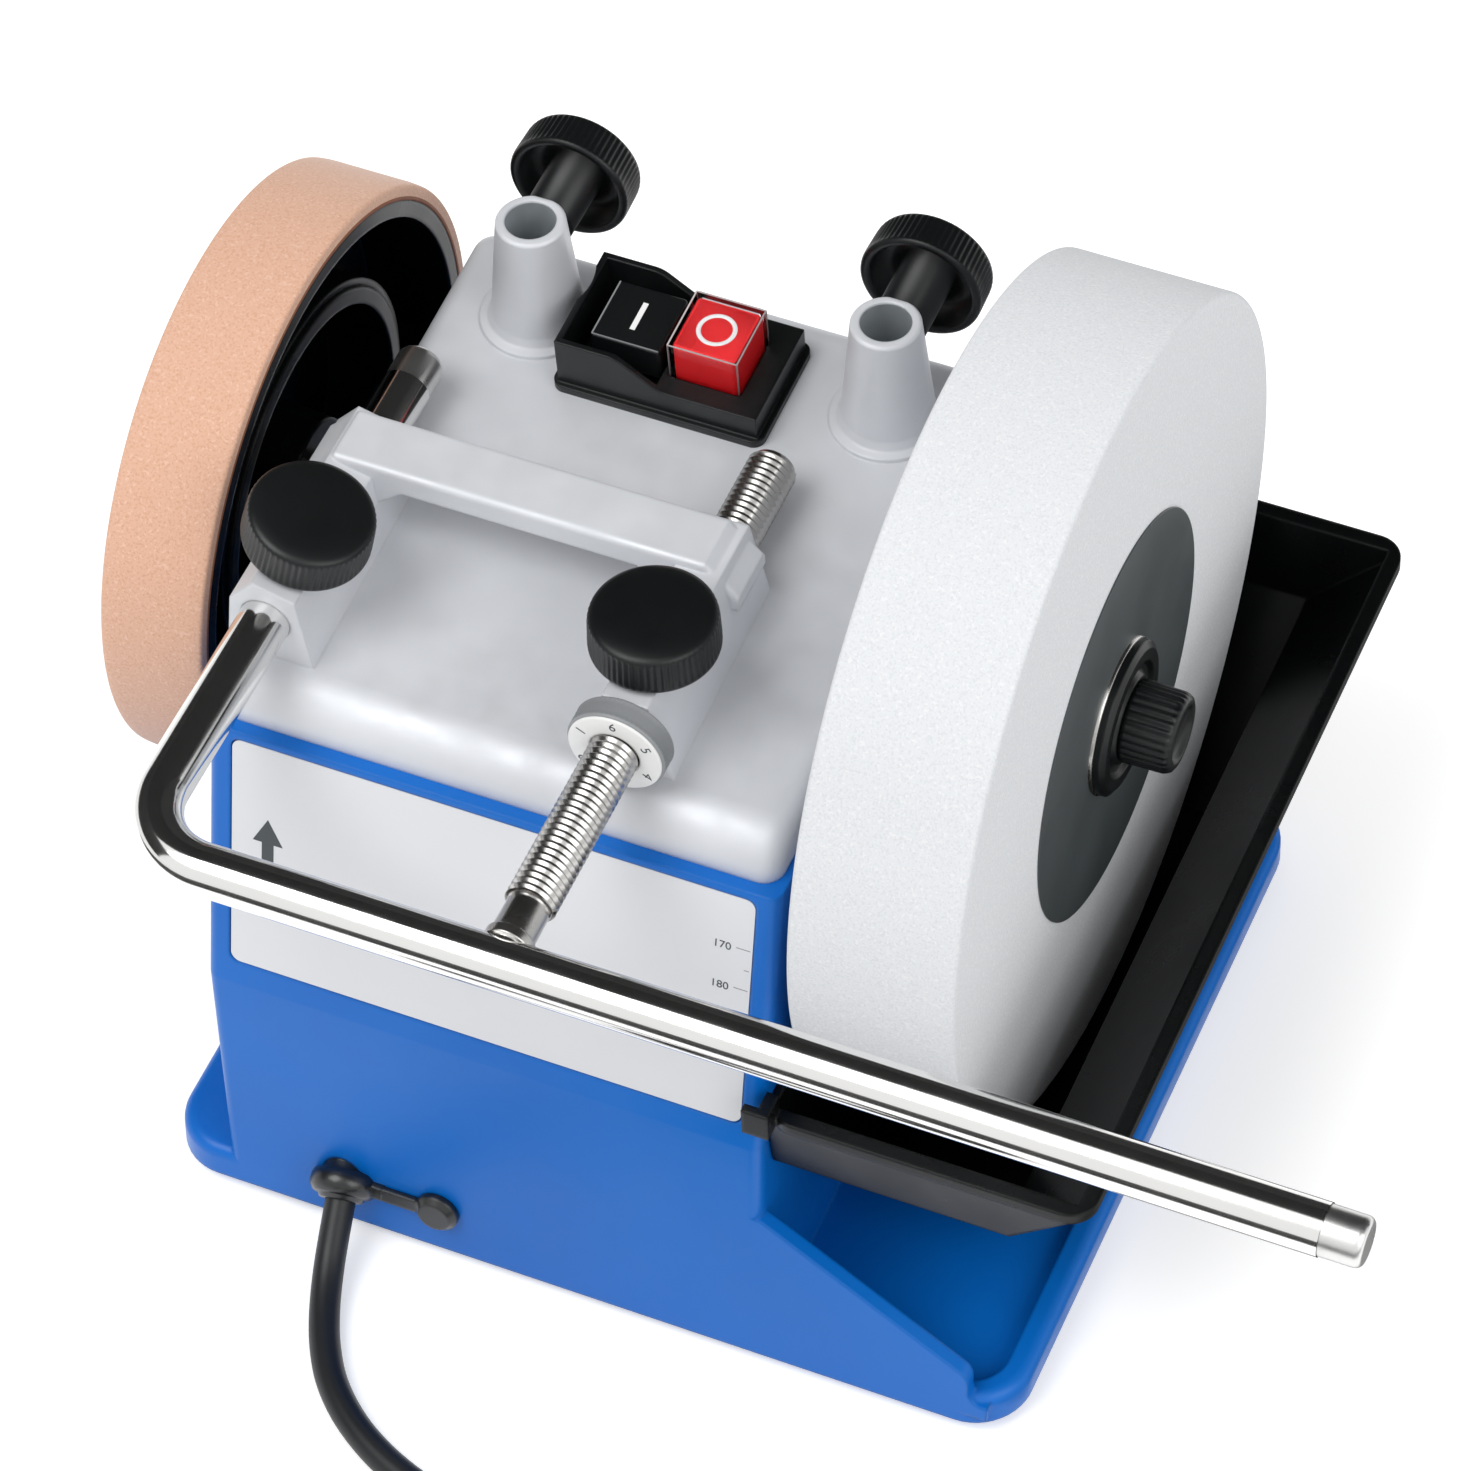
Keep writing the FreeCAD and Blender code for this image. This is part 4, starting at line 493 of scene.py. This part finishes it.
def make_clear_material():
    mat, tree, shader = new_material("clear_cap", (0.97, 0.985, 0.99), 0.03)
    shader.inputs["Transmission Weight"].default_value = 1.0
    shader.inputs["IOR"].default_value = 1.15
    ripple = noise(tree, scale=120.0)
    finish_surface(tree, shader, ripple, strength=0.02, distance=GRAIN_DEPTH)
    return mat


PLASTICS = {
    "blue_plastic": dict(low=(0.0, 0.122, 0.50), high=(0.001, 0.138, 0.54), roughness=0.34,
                         grain=1800.0, strength=0.04, edge=0.0012, gloss=0.30),
    "black_plastic": dict(low=(0.004, 0.005, 0.0055), high=(0.007, 0.008, 0.0085), roughness=0.36,
                          grain=1600.0, strength=0.08, edge=0.0007, gloss=0.36),
    # The next black is a darker copy of black_plastic: painted shade for the deep insides of the trough and
    # the honing wheel's cup.
    "painted_shade_black": dict(low=(0.0022, 0.0028, 0.003), high=(0.0035, 0.0042, 0.0045), roughness=0.30,
                       grain=900.0, strength=0.05, edge=0.0012, gloss=0.24),
    "black_rubber": dict(low=(0.005, 0.006, 0.0065), high=(0.009, 0.010, 0.011), roughness=0.30,
                         grain=1200.0, strength=0.05, edge=0.0010, coat=0.2),
    "cord_black": dict(low=(0.006, 0.007, 0.008), high=(0.011, 0.012, 0.013), roughness=0.45,
                       grain=1500.0, strength=0.10, edge=0.0, gloss=0.4),
    "button_red": dict(low=(0.78, 0.008, 0.012), high=(0.84, 0.014, 0.018), roughness=0.34,
                       grain=1500.0, strength=0.02, edge=0.0006, gloss=0.3),
    "label": dict(low=(0.055, 0.065, 0.068), high=(0.068, 0.078, 0.082), roughness=0.42,
                  grain=1500.0, strength=0.05, edge=0.0003),
    "leather_edge": dict(low=(0.22, 0.07, 0.03), high=(0.33, 0.12, 0.05), roughness=0.7,
                         grain=1500.0, strength=0.3, edge=0.0),
    "grey_plastic": dict(low=(0.24, 0.25, 0.26), high=(0.30, 0.31, 0.32), roughness=0.40),
    "bearing": dict(low=(0.50, 0.50, 0.45), high=(0.56, 0.56, 0.50), roughness=0.5),
}
PRINTS = {
    "front_panel": dict(low=(0.68, 0.69, 0.72), high=(0.71, 0.72, 0.745), roughness=0.5),
    "dial_white": dict(low=(0.78, 0.78, 0.77), high=(0.84, 0.84, 0.83), roughness=0.45),
    "mark_dark": dict(low=(0.045, 0.055, 0.06), high=(0.06, 0.07, 0.075), roughness=0.55),
    # The next colour is print for the scale's ticks, and painted highlight for the strips along the start
    # button's edges.
    "grey_print_and_painted_highlight": dict(low=(0.22, 0.23, 0.24), high=(0.28, 0.29, 0.30), roughness=0.55),
    "mark_white": dict(low=(0.80, 0.80, 0.80), high=(0.86, 0.86, 0.86), roughness=0.5),
    # The next colour is painted highlight, for the strips along the clear cap's edges.
    "painted_highlight": dict(low=(0.50, 0.44, 0.44), high=(0.62, 0.56, 0.56), roughness=0.3),
}
METALS = {
    "cast_silver": dict(low=(0.63, 0.645, 0.675), high=(0.68, 0.695, 0.725), roughness=0.52, metallic=0.22,
                        grain=1700.0, strength=0.08, edge=0.0010),
    "bright_bar": dict(low=(0.79, 0.785, 0.77), high=(0.83, 0.825, 0.81), roughness=0.11,
                       grain=500.0, strength=0.01),
    "steel": dict(low=(0.42, 0.41, 0.395), high=(0.52, 0.51, 0.495), roughness=0.24,
                  grain=2600.0, strength=0.08, edge=0.0003),
    "turned_steel": dict(low=(0.66, 0.66, 0.65), high=(0.74, 0.74, 0.73), roughness=0.32,
                         grain=3000.0, strength=0.2),
    "bored_metal": dict(low=(0.55, 0.60, 0.63), high=(0.76, 0.80, 0.82), roughness=0.34, metallic=0.75,
                        grain=2600.0, strength=0.2, stretch=(1, 1, 8)),
    "motor_steel": dict(low=(0.22, 0.22, 0.23), high=(0.28, 0.28, 0.29), roughness=0.5),
    "winding": dict(low=(0.52, 0.24, 0.08), high=(0.62, 0.32, 0.12), roughness=0.4),
    "pin_metal": dict(low=(0.70, 0.66, 0.55), high=(0.78, 0.74, 0.63), roughness=0.25),
}
# The trough, the honing wheel and its drive ring take the darker black, as painted shade in their deep
# insides.
OWN_LOOKS = {"water_trough": "painted_shade_black", "honing_wheel": "painted_shade_black", "drive_ring": "painted_shade_black"}


def make_materials():
    looks = {name: moulded(name, **look) for name, look in PLASTICS.items()}
    looks.update({name: printed(name, **look) for name, look in PRINTS.items()})
    looks.update({name: metal(name, **look) for name, look in METALS.items()})
    looks["stone"] = make_stone_material()
    looks["leather"] = make_leather_material()
    looks["clear_cap"] = make_clear_material()
    return looks


def dress_nodes(materials):
    """Each CAD piece gets its slot's material, or a look of its own."""
    for part in frame["record"]["subparts"]:
        obj = frame["nodes"][part["node"]]
        material = materials[OWN_LOOKS.get(part["node"], part["material_slot"])]
        if not obj.material_slots:
            obj.data.materials.append(material)
        for slot in obj.material_slots:
            slot.material = material


# The mains lead

def coil_points():
    """The turns of the coil: in on the lower layer, out on the upper one, as control points."""
    outermost = 53.0
    narrowing = 4.0
    climbing_half_turn = 6
    low = 5.05
    layer = 8.0
    steps = 12
    control_reach = 1.004
    inwards = [outermost - narrowing * k for k in range(8)]
    outwards = [outermost - narrowing * k for k in range(5, -1, -1)]
    radii = inwards + outwards
    points = []
    for k, (start, end) in enumerate(zip(radii, radii[1:])):
        side = 1 if k % 2 == 0 else -1
        radius = (start + end) / 2
        middle = side * (start - end) / 2
        for step in range(steps):
            angle = math.pi * step / steps
            x = COIL_CENTRE[0] + side * radius * math.sin(angle) * control_reach
            y = COIL_CENTRE[1] + middle + side * radius * math.cos(angle) * control_reach
            climb = (1 - math.cos(angle)) / 2 if k == climbing_half_turn else float(k > climbing_half_turn)
            points.append((x, y, low + layer * climb))
    return points


def cord_route():
    """From the gland down to the floor, along it, round the coil and up to the plug."""
    free = [
        CORD_EXIT,
        (-59.20, -107.00, 10.60),
        (-57.40, -115.20, 6.20),
        (-54.4, -124.0, 4.2),
        (-50.2, -132.8, 3.85),
        (-44.0, -142.0, 3.85),
        (-34.0, -150.8, 3.85),
        (-21.0, -157.8, 3.85),
        (-5.0, -162.6, 4.05),
        (10.0, -164.6, 4.65),
        (24.5, -165.0, 5.05),
    ]
    tail = [
        (32.0, -271.0, 13.05),
        (24.5, -271.0, 13.05),
        (12.5, -271.0, 13.05),
        (-5.5, -272.0, 18.5),
        (-19.5, -272.0, 18.5),
    ]
    return free + coil_points() + tail


def make_cord(materials):
    curve = bpy.data.curves.new("mains_lead", "CURVE")
    curve.dimensions = "3D"
    curve.bevel_depth = CORD_RADIUS * MM
    curve.bevel_resolution = 6
    curve.resolution_u = 6
    curve.use_fill_caps = True
    route = cord_route()
    spline = curve.splines.new("NURBS")
    spline.points.add(len(route) - 1)
    for point, place in zip(spline.points, route):
        point.co = (*(Vector(place) * MM), 1.0)
    spline.order_u = 3
    spline.use_endpoint_u = True
    curve.materials.append(materials["cord_black"])
    cord = bpy.data.objects.new("mains_lead", curve)
    bpy.context.collection.objects.link(cord)
    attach(cord, "machine")
    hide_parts("cord_free", "cord_coil", "cord_tail")


def make_gland(materials):
    """The glossy bulb round the lead where it leaves the housing."""
    profile = [
        (5.4, -1.5), (5.6, 0.8), (7.4, 1.4), (8.1, 2.6), (8.3, 4.2), (8.0, 5.6), (7.2, 6.7), (6.4, 7.2),
        (6.0, 7.0), (5.7, 7.3), (5.3, 8.1), (4.7, 8.3), (4.2, 7.9), (3.9, 6.6),
    ]
    verts, faces = lathe(profile, segments=64, matrix=aimed(GLAND_POINT, GLAND_DIRECTION))
    gland = mesh_piece("gland_bulb", verts, faces, materials["black_rubber"], "machine")
    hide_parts("cord_gland")


def make_strap_root(materials):
    """The short bridge from the gland to its strap."""
    thickness = 1.7
    root = [(6.0, -2.0), (11.0, -2.0), (11.0, 2.0), (6.0, 2.0)]
    spot = shift(*STRAP_PLACE) @ Matrix.Rotation(math.radians(90 - LOWER_FRONT_LEAN), 4, "X")
    rubber = materials["black_rubber"]
    plate_piece("gland_strap_root", root, spot, thickness, rubber, "machine")


# Lock knobs and sleeves

def knob_profile(hub):
    low = hub
    high = hub + 9.7
    return [
        (0.0, 0.4), (5.9, 0.4), (6.5, 0.9), (6.6, low + 6.0), (12.2, low + 6.0), (12.6, low + 0.6),
        (13.2, low), (14.3, low), (14.8, low + 0.3), (14.95, low + 0.9), (15.0, low + 1.4),
        (14.9, low + 4.0), (14.75, high - 1.6), (14.65, high - 0.9), (14.4, high - 0.35),
        (13.9, high + 0.1), (13.0, high + 0.5), (10.5, high + 0.95), (7.0, high + 1.25),
        (3.5, high + 1.37), (0.0, high + 1.4),
    ]


def knob_wave(index, angle):
    """Ribs on the rows of the outline that lie on the knob's rim."""
    depth = {10: 0.30, 11: 0.42, 12: 0.42, 13: 0.20}.get(index, 0.0)
    return -depth * (0.5 - 0.5 * math.cos(KNOB_RIBS * angle)) ** 0.8


def make_knobs(materials):
    lean = math.radians(LEFT_SCREW_TILT)
    tilted = Vector((math.sin(lean), 0, math.cos(lean)))
    upright = Vector((0, 0, 1))
    rearward = Vector((0, 1, 0))
    left_seat = Vector((LEG_LEFT_X, FRONT_SCREW_Y, LEG_Z)) + tilted * FACET_HEIGHT
    right_seat = Vector((LEG_RIGHT_X, FRONT_SCREW_Y, LEG_Z)) + upright * FACET_HEIGHT
    places = {
        "front_left": (left_seat, tilted, FRONT_HUB),
        "front_right": (right_seat, upright, FRONT_HUB),
        "rear_left": ((SLEEVE_LEFT_X, SLEEVE_FLAT_Y, SLEEVE_SCREW_Z), rearward, REAR_HUB),
        "rear_right": ((SLEEVE_RIGHT_X, SLEEVE_FLAT_Y, SLEEVE_SCREW_Z), rearward, REAR_HUB),
    }
    black = materials["black_plastic"]
    for name, (place, axis, hub) in places.items():
        verts, faces = lathe(knob_profile(hub), KNOB_RIBS * 6, aimed(place, axis), knob_wave)
        knob = mesh_piece("ribbed_knob_" + name, verts, faces, black, "lock_" + name)
        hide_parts("knob_" + name)


def make_sleeve_bores(materials):
    """The bare machined bores of the two sleeves."""
    clearance = 0.02
    below_top = 0.6
    depth = 30.0
    radius = LEG_RADIUS + clearance
    lining = [(radius, -below_top), (radius, -depth)]
    for name, x in (("left", SLEEVE_LEFT_X), ("right", SLEEVE_RIGHT_X)):
        verts, faces = lathe(lining, segments=64, matrix=aimed((x, SLEEVE_Y, SLEEVE_TOP), (0, 0, 1)))
        mesh_piece("sleeve_bore_" + name, verts, faces, materials["bored_metal"], "machine")


# The tool support

def make_thread(materials):
    """The helical ridge of the threaded leg, which runs out at the rear end."""
    pitch = 1.75
    depth = 0.75
    run_out = 1.5
    end_drop = 0.9
    end_gap = 0.6
    segments = 36
    shape = ((0.0, 0.0), (0.35, -depth), (0.55, -depth), (0.9, 0.0))
    columns = len(shape)
    turns = int((LEG_END - end_gap - NECK_END) / pitch) - 1
    count = turns * segments
    verts = []
    for step in range(count + segments + 1):
        angle = 2 * math.pi * step / segments
        for share, drop in shape:
            y = NECK_END + pitch * (step / segments + share)
            fade = min(1.0, max(0.0, (LEG_END - y) / run_out))
            reach = LEG_RADIUS - end_drop * (1 - fade) + drop * fade
            around = (LEG_RIGHT_X + reach * math.cos(angle), min(y, LEG_END), LEG_Z + reach * math.sin(angle))
            verts.append(Vector(around) * MM)
    faces = []
    for step in range(count + segments):
        for column in range(columns):
            a = step * columns + column
            b = a + columns
            if column < columns - 1:
                faces.append((a, a + 1, b + 1, b))
            elif step < count:
                c = (step + segments) * columns
                faces.append((a, c, c + columns, b))
    leg = mesh_piece("screw_thread", verts, faces, materials["steel"], "support")
    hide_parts("threaded_leg")


def make_thread_core(materials):
    """The leg's plain neck and turned collar at the bar, and the core that closes the thread's end."""
    neck = [
        (0.0, 0.0), (5.1, 0.0), (5.1, 4.2), (5.9, 4.6), (5.9, 7.0), (5.1, 7.4), (5.0, 15.6), (5.3, 16.4),
        (5.2, 20.0),
    ]
    core = [(5.2, 100.0), (5.2, 152.5), (4.6, 153.0), (0.0, 153.0)]
    place = aimed((LEG_RIGHT_X, BAR_Y, LEG_Z), (0, 1, 0))
    verts, faces = lathe(rounded(neck + core, radius=0.3), segments=48, matrix=place)
    mesh_piece("thread_core", verts, faces, materials["steel"], "support")


def swept_rod(path, radius, segments):
    """An open-ended round rod along points in a level plane."""
    verts = []
    for index, point in enumerate(path):
        ahead = path[min(index + 1, len(path) - 1)] - path[max(index - 1, 0)]
        side = Vector((ahead.y, -ahead.x, 0)).normalized()
        for step in range(segments):
            angle = 2 * math.pi * step / segments
            offset = side * math.cos(angle) + Vector((0, 0, 1)) * math.sin(angle)
            verts.append((point + offset * radius) * MM)
    faces = []
    for index in range(len(path) - 1):
        for step in range(segments):
            after = (step + 1) % segments
            a = index * segments
            b = a + segments
            faces.append((a + step, a + after, b + after, b + step))
    return verts, faces


def make_bar(materials):
    """The bent bright rod."""
    steps = 36
    corner = Vector((LEG_LEFT_X + BAR_BEND, BAR_Y + BAR_BEND, LEG_Z))
    points = [Vector((LEG_LEFT_X, LEG_END - BAR_TIP, LEG_Z))]
    for step in range(steps + 1):
        angle = math.pi + math.pi / 2 * step / steps
        points.append(corner + Vector((math.cos(angle), math.sin(angle), 0)) * BAR_BEND)
    points.append(Vector((BAR_END - BAR_TIP, BAR_Y, LEG_Z)))
    verts, faces = swept_rod(points, LEG_RADIUS, segments=72)
    bar = mesh_piece("bright_rod", verts, faces, materials["bright_bar"], "support")
    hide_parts("support_bar")


def make_bar_tips(materials):
    """The rod's turned ends."""
    tip = [(0.0, -0.5), (5.75, -0.5), (5.75, 8.0), (5.4, 8.9), (4.7, BAR_TIP), (0.0, BAR_TIP)]
    ends = {
        "rod_tip_rear": aimed((LEG_LEFT_X, LEG_END - BAR_TIP, LEG_Z), (0, 1, 0)),
        "rod_tip_right": aimed((BAR_END - BAR_TIP, BAR_Y, LEG_Z), (1, 0, 0)),
    }
    for name, matrix in ends.items():
        verts, faces = lathe(rounded(tip, radius=0.4), segments=64, matrix=matrix)
        mesh_piece(name, verts, faces, materials["turned_steel"], "support")


def micro_nut_frame():
    return aimed((LEG_RIGHT_X, CLAMP_FRONT - MICRO_NUT_GAP, LEG_Z), (0, -1, 0))


def micro_wave(index, angle):
    """A crossed knurl on the rim: the ribs of each row stand half a step off those of the next."""
    if index not in (4, 5, 6, 7, 8):
        return 0.0
    return -0.5 * (0.5 - 0.5 * math.cos(MICRO_NUT_RIBS * angle + math.pi * index))


def make_micro_nut(materials):
    top = MICRO_NUT_LENGTH
    edge = MICRO_NUT_RADIUS
    profile = [
        (6.05, 0.0), (edge - 0.8, 0.0), (edge - 0.2, 0.3), (edge, 0.7), (edge, 1.0), (edge, 2.0),
        (edge, 3.0), (edge, 4.0), (edge, 5.0), (edge, 5.4), (edge - 0.3, top - 0.1), (edge - 0.8, top),
        (6.05, top),
    ]
    verts, faces = lathe(profile, MICRO_NUT_RIBS * 4, micro_nut_frame(), micro_wave)
    nut = mesh_piece("knurled_nut", verts, faces, materials["grey_plastic"], "height_nut")
    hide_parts("micro_nut")


def make_dial(materials):
    """The white ring on the micro-adjust nut, with its six figures."""
    top = MICRO_NUT_LENGTH
    face_height = top + 0.6
    figure_radius = 8.9
    figure_size = 3.6
    ring = [
        (6.05, top + 0.02), (6.05, top + 0.55), (6.6, face_height), (10.8, face_height), (11.2, top + 0.4),
        (11.2, top),
    ]
    matrix = micro_nut_frame()
    verts, faces = lathe(ring, segments=96, matrix=matrix)
    face = mesh_piece("dial_face", verts, faces, materials["dial_white"], "height_nut")
    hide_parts("micro_dial")
    ink = materials["mark_dark"]
    for number in range(1, 7):
        turn = Matrix.Rotation(math.radians(60 * number), 4, "Z")
        spot = matrix @ turn @ shift(0, figure_radius, face_height)
        make_text("dial_number_%d" % number, str(number), figure_size, spot, ink, "height_nut")


# Switch and front plate

def switch_frame():
    return shift(*SWITCH_ORIGIN) @ Matrix.Rotation(math.radians(TOP_SLOPE), 4, "X")


def make_button_marks(materials):
    """The line on the start button and the circle on the stop button."""
    white = materials["mark_white"]
    line = [(-0.65, -4.2), (0.65, -4.2), (0.65, 4.2), (-0.65, 4.2)]
    spot = switch_frame() @ shift(ON_X, 0, ON_TOP)
    plate_piece("start_mark", line, spot, BUTTON_MARK_HEIGHT, white, "start_button")
    ring = [(3.7, 0.0), (3.7, BUTTON_MARK_HEIGHT), (4.8, BUTTON_MARK_HEIGHT), (4.8, 0.0)]
    verts, faces = lathe(ring, segments=64, matrix=switch_frame() @ shift(OFF_X, 0, OFF_TOP))
    mesh_piece("stop_mark", verts, faces, white, "stop_button")


def bright_edges(name, edges, material, body):
    """Thin square strips along edges, coloured light as painted highlights, in the switch's own frame."""
    half = 0.16
    matrix = switch_frame()
    verts = []
    faces = []
    for start, end in edges:
        a, b = Vector(start), Vector(end)
        side = (b - a).orthogonal().normalized() * half
        other = side.cross((b - a).normalized())
        base = len(verts)
        for point in (a, b):
            for corner in (side + other, other - side, -side - other, side - other):
                verts.append(matrix @ ((point + corner) * MM))
        faces += [(base + n, base + (n + 1) % 4, base + 4 + (n + 1) % 4, base + 4 + n) for n in range(4)]
        faces += [tuple(range(base, base + 4)), tuple(range(base + 4, base + 8))]
    mesh_piece(name, verts, faces, material, body)


def make_cap_edges(materials):
    """Painted highlights on the clear cap: light strips along its rim and its four upright corners."""
    inset = 0.25
    foot_gap = 1.0
    half = OFF_SIZE / 2 + CAP_WALL - inset
    foot_height = BUTTON_FOOT + foot_gap
    corners = ((-half, -half), (half, -half), (half, half), (-half, half))
    rim = [(OFF_X + x, y, OFF_TOP + CAP_WALL) for x, y in corners]
    foot = [(OFF_X + x, y, foot_height) for x, y in corners]
    edges = list(zip(rim, rim[1:] + rim[:1])) + list(zip(rim, foot))
    bright_edges("cap_painted_highlights", edges, materials["painted_highlight"], "stop_button")


def make_start_edges(materials):
    """Painted highlights on the start button: grey strips along its left and front edges."""
    inset = 0.4
    half = ON_SIZE / 2 - inset
    rim = [(ON_X + x, y, ON_TOP) for x, y in ((-half, half), (-half, -half), (half, -half))]
    bright_edges("start_painted_highlights", list(zip(rim, rim[1:])), materials["grey_print_and_painted_highlight"], "start_button")


def make_plate_marks(materials):
    """The arrow on the front plate, and the scale's three ticks with their two figures."""
    figure_x = 57.0
    figure_size = 3.0
    figure_drop = 0.4
    figure_lift = 0.03
    tick_end = 63.8
    turn = Matrix.Rotation(math.radians(90 - UPPER_FRONT_LEAN), 4, "X")
    surface = shift(PLATE_MIDDLE_X, KINK_Y, FRONT_KINK) @ turn @ shift(0, 0, PLATE_SURFACE)
    ink = materials["mark_dark"]
    arrow = [(-1.5, -18.0), (1.5, -18.0), (1.5, -7.0), (3.8, -7.0), (0.0, 0.0), (-3.8, -7.0), (-1.5, -7.0)]
    spot = surface @ shift(-55.2, 52.0, 0)
    plate_piece("turn_arrow", arrow, spot, MARK_HEIGHT, ink, "machine")
    for height, words in ((58.2, "170"), (46.5, "180")):
        spot = surface @ shift(figure_x, height - figure_drop, figure_lift)
        make_text("scale_number_" + words, words, figure_size, spot, ink, "machine")
    for height, start in ((58.2, 60.4), (52.3, 62.6), (46.5, 60.4)):
        low = height - TICK_HALF
        high = height + TICK_HALF
        tick = [(start, low), (tick_end, low), (tick_end, high), (start, high)]
        name = "scale_tick_%d" % height
        plate_piece(name, tick, surface, MARK_HEIGHT, materials["grey_print_and_painted_highlight"], "machine")


# Wheels

def make_stone(materials):
    outer = STONE_RADIUS
    width = STONE_WIDTH
    inner = STONE_BORE
    shoulder = 97.0
    outline = [
        (inner, 0.0), (shoulder, 0.0), (outer, 0.0), (outer, width), (shoulder, width), (50.0, width),
        (inner, width),
    ]
    verts, faces = lathe(rounded(outline, radius=1.6, steps=6), segments=256, matrix=axle(STONE_FACE))
    stone = mesh_piece("grinding_stone", verts, faces, materials["stone"], "shaft")
    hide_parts("grindstone")


def nut_wave(index, angle):
    """Ribs on the rows of the outline that lie on the hand nut's side."""
    depth = {2: 0.25, 3: 0.5, 4: 0.5, 5: 0.3}.get(index, 0.0)
    return -depth * (0.5 - 0.5 * math.cos(HAND_NUT_RIBS * angle))


def make_nut(materials):
    length = STONE_NUT_LENGTH
    profile = [
        (0.0, 0.05), (9.3, 0.05), (9.9, 0.4), (10.0, 1.0), (9.8, length - 2.2), (9.6, length - 1.4),
        (9.1, length - 0.6), (8.3, length - 0.15), (7.2, length), (6.6, length - 0.3),
        (6.2, length - 1.2), (0.0, length - 1.4),
    ]
    verts, faces = lathe(profile, HAND_NUT_RIBS * 8, axle(WASHER_END), nut_wave)
    black = materials["black_plastic"]
    nut = mesh_piece("hand_nut_ribbed", verts, faces, black, "hand_nut")
    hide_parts("stone_nut")


def make_washer_ring(materials):
    """The bright rim of the dished washer under the hand nut."""
    ring = [(18.6, 0.0), (18.6, 0.7), (18.9, 0.8), (19.1, 0.5), (19.2, 0.0)]
    verts, faces = lathe(ring, segments=96, matrix=axle(WASHER_START))
    mesh_piece("washer_ring", verts, faces, materials["steel"], "shaft")


def make_leather(materials):
    """The leather round the honing wheel, and the dark line of glue beside it."""
    outer = HONING_RADIUS
    inner = outer - LEATHER_THICKNESS + 0.1
    width = HONING_WIDTH
    worn = outer - 0.3
    outline = [(inner, 0.0), (worn, 0.0), (outer, 3.0), (outer, width - 3.0), (worn, width), (inner, width)]
    place = axle(HONING_FACE - HONING_WIDTH)
    verts, faces = lathe(rounded(outline, radius=1.0, steps=4), segments=224, matrix=place)
    band = mesh_piece("leather_strip", verts, faces, materials["leather"], "shaft")
    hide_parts("leather_band")
    near = inner - 0.05
    far = inner + 0.9
    low = width - 0.5
    high = width + 0.06
    glue = [(near, low), (near, high), (far, high), (far, low)]
    verts, faces = lathe(glue, segments=160, matrix=place)
    mesh_piece("leather_glue_line", verts, faces, materials["leather_edge"], "shaft")


make_camera()
make_world()
make_floor()
make_flags()
make_lamp("key", place=(-0.9, -1.2, 2.6), size=1.7, power=42.0)
make_lamp("fill", place=(1.9, -0.9, 1.7), size=1.6, power=20.0)
materials = make_materials()
make_cord(materials)
make_gland(materials)
make_strap_root(materials)
dress_nodes(materials)
make_knobs(materials)
make_sleeve_bores(materials)
make_thread(materials)
make_thread_core(materials)
make_bar(materials)
make_bar_tips(materials)
make_micro_nut(materials)
make_dial(materials)
make_button_marks(materials)
make_cap_edges(materials)
make_start_edges(materials)
make_plate_marks(materials)
make_stone(materials)
make_nut(materials)
make_washer_ring(materials)
make_leather(materials)
bpy.context.scene.view_settings.view_transform = "Standard"
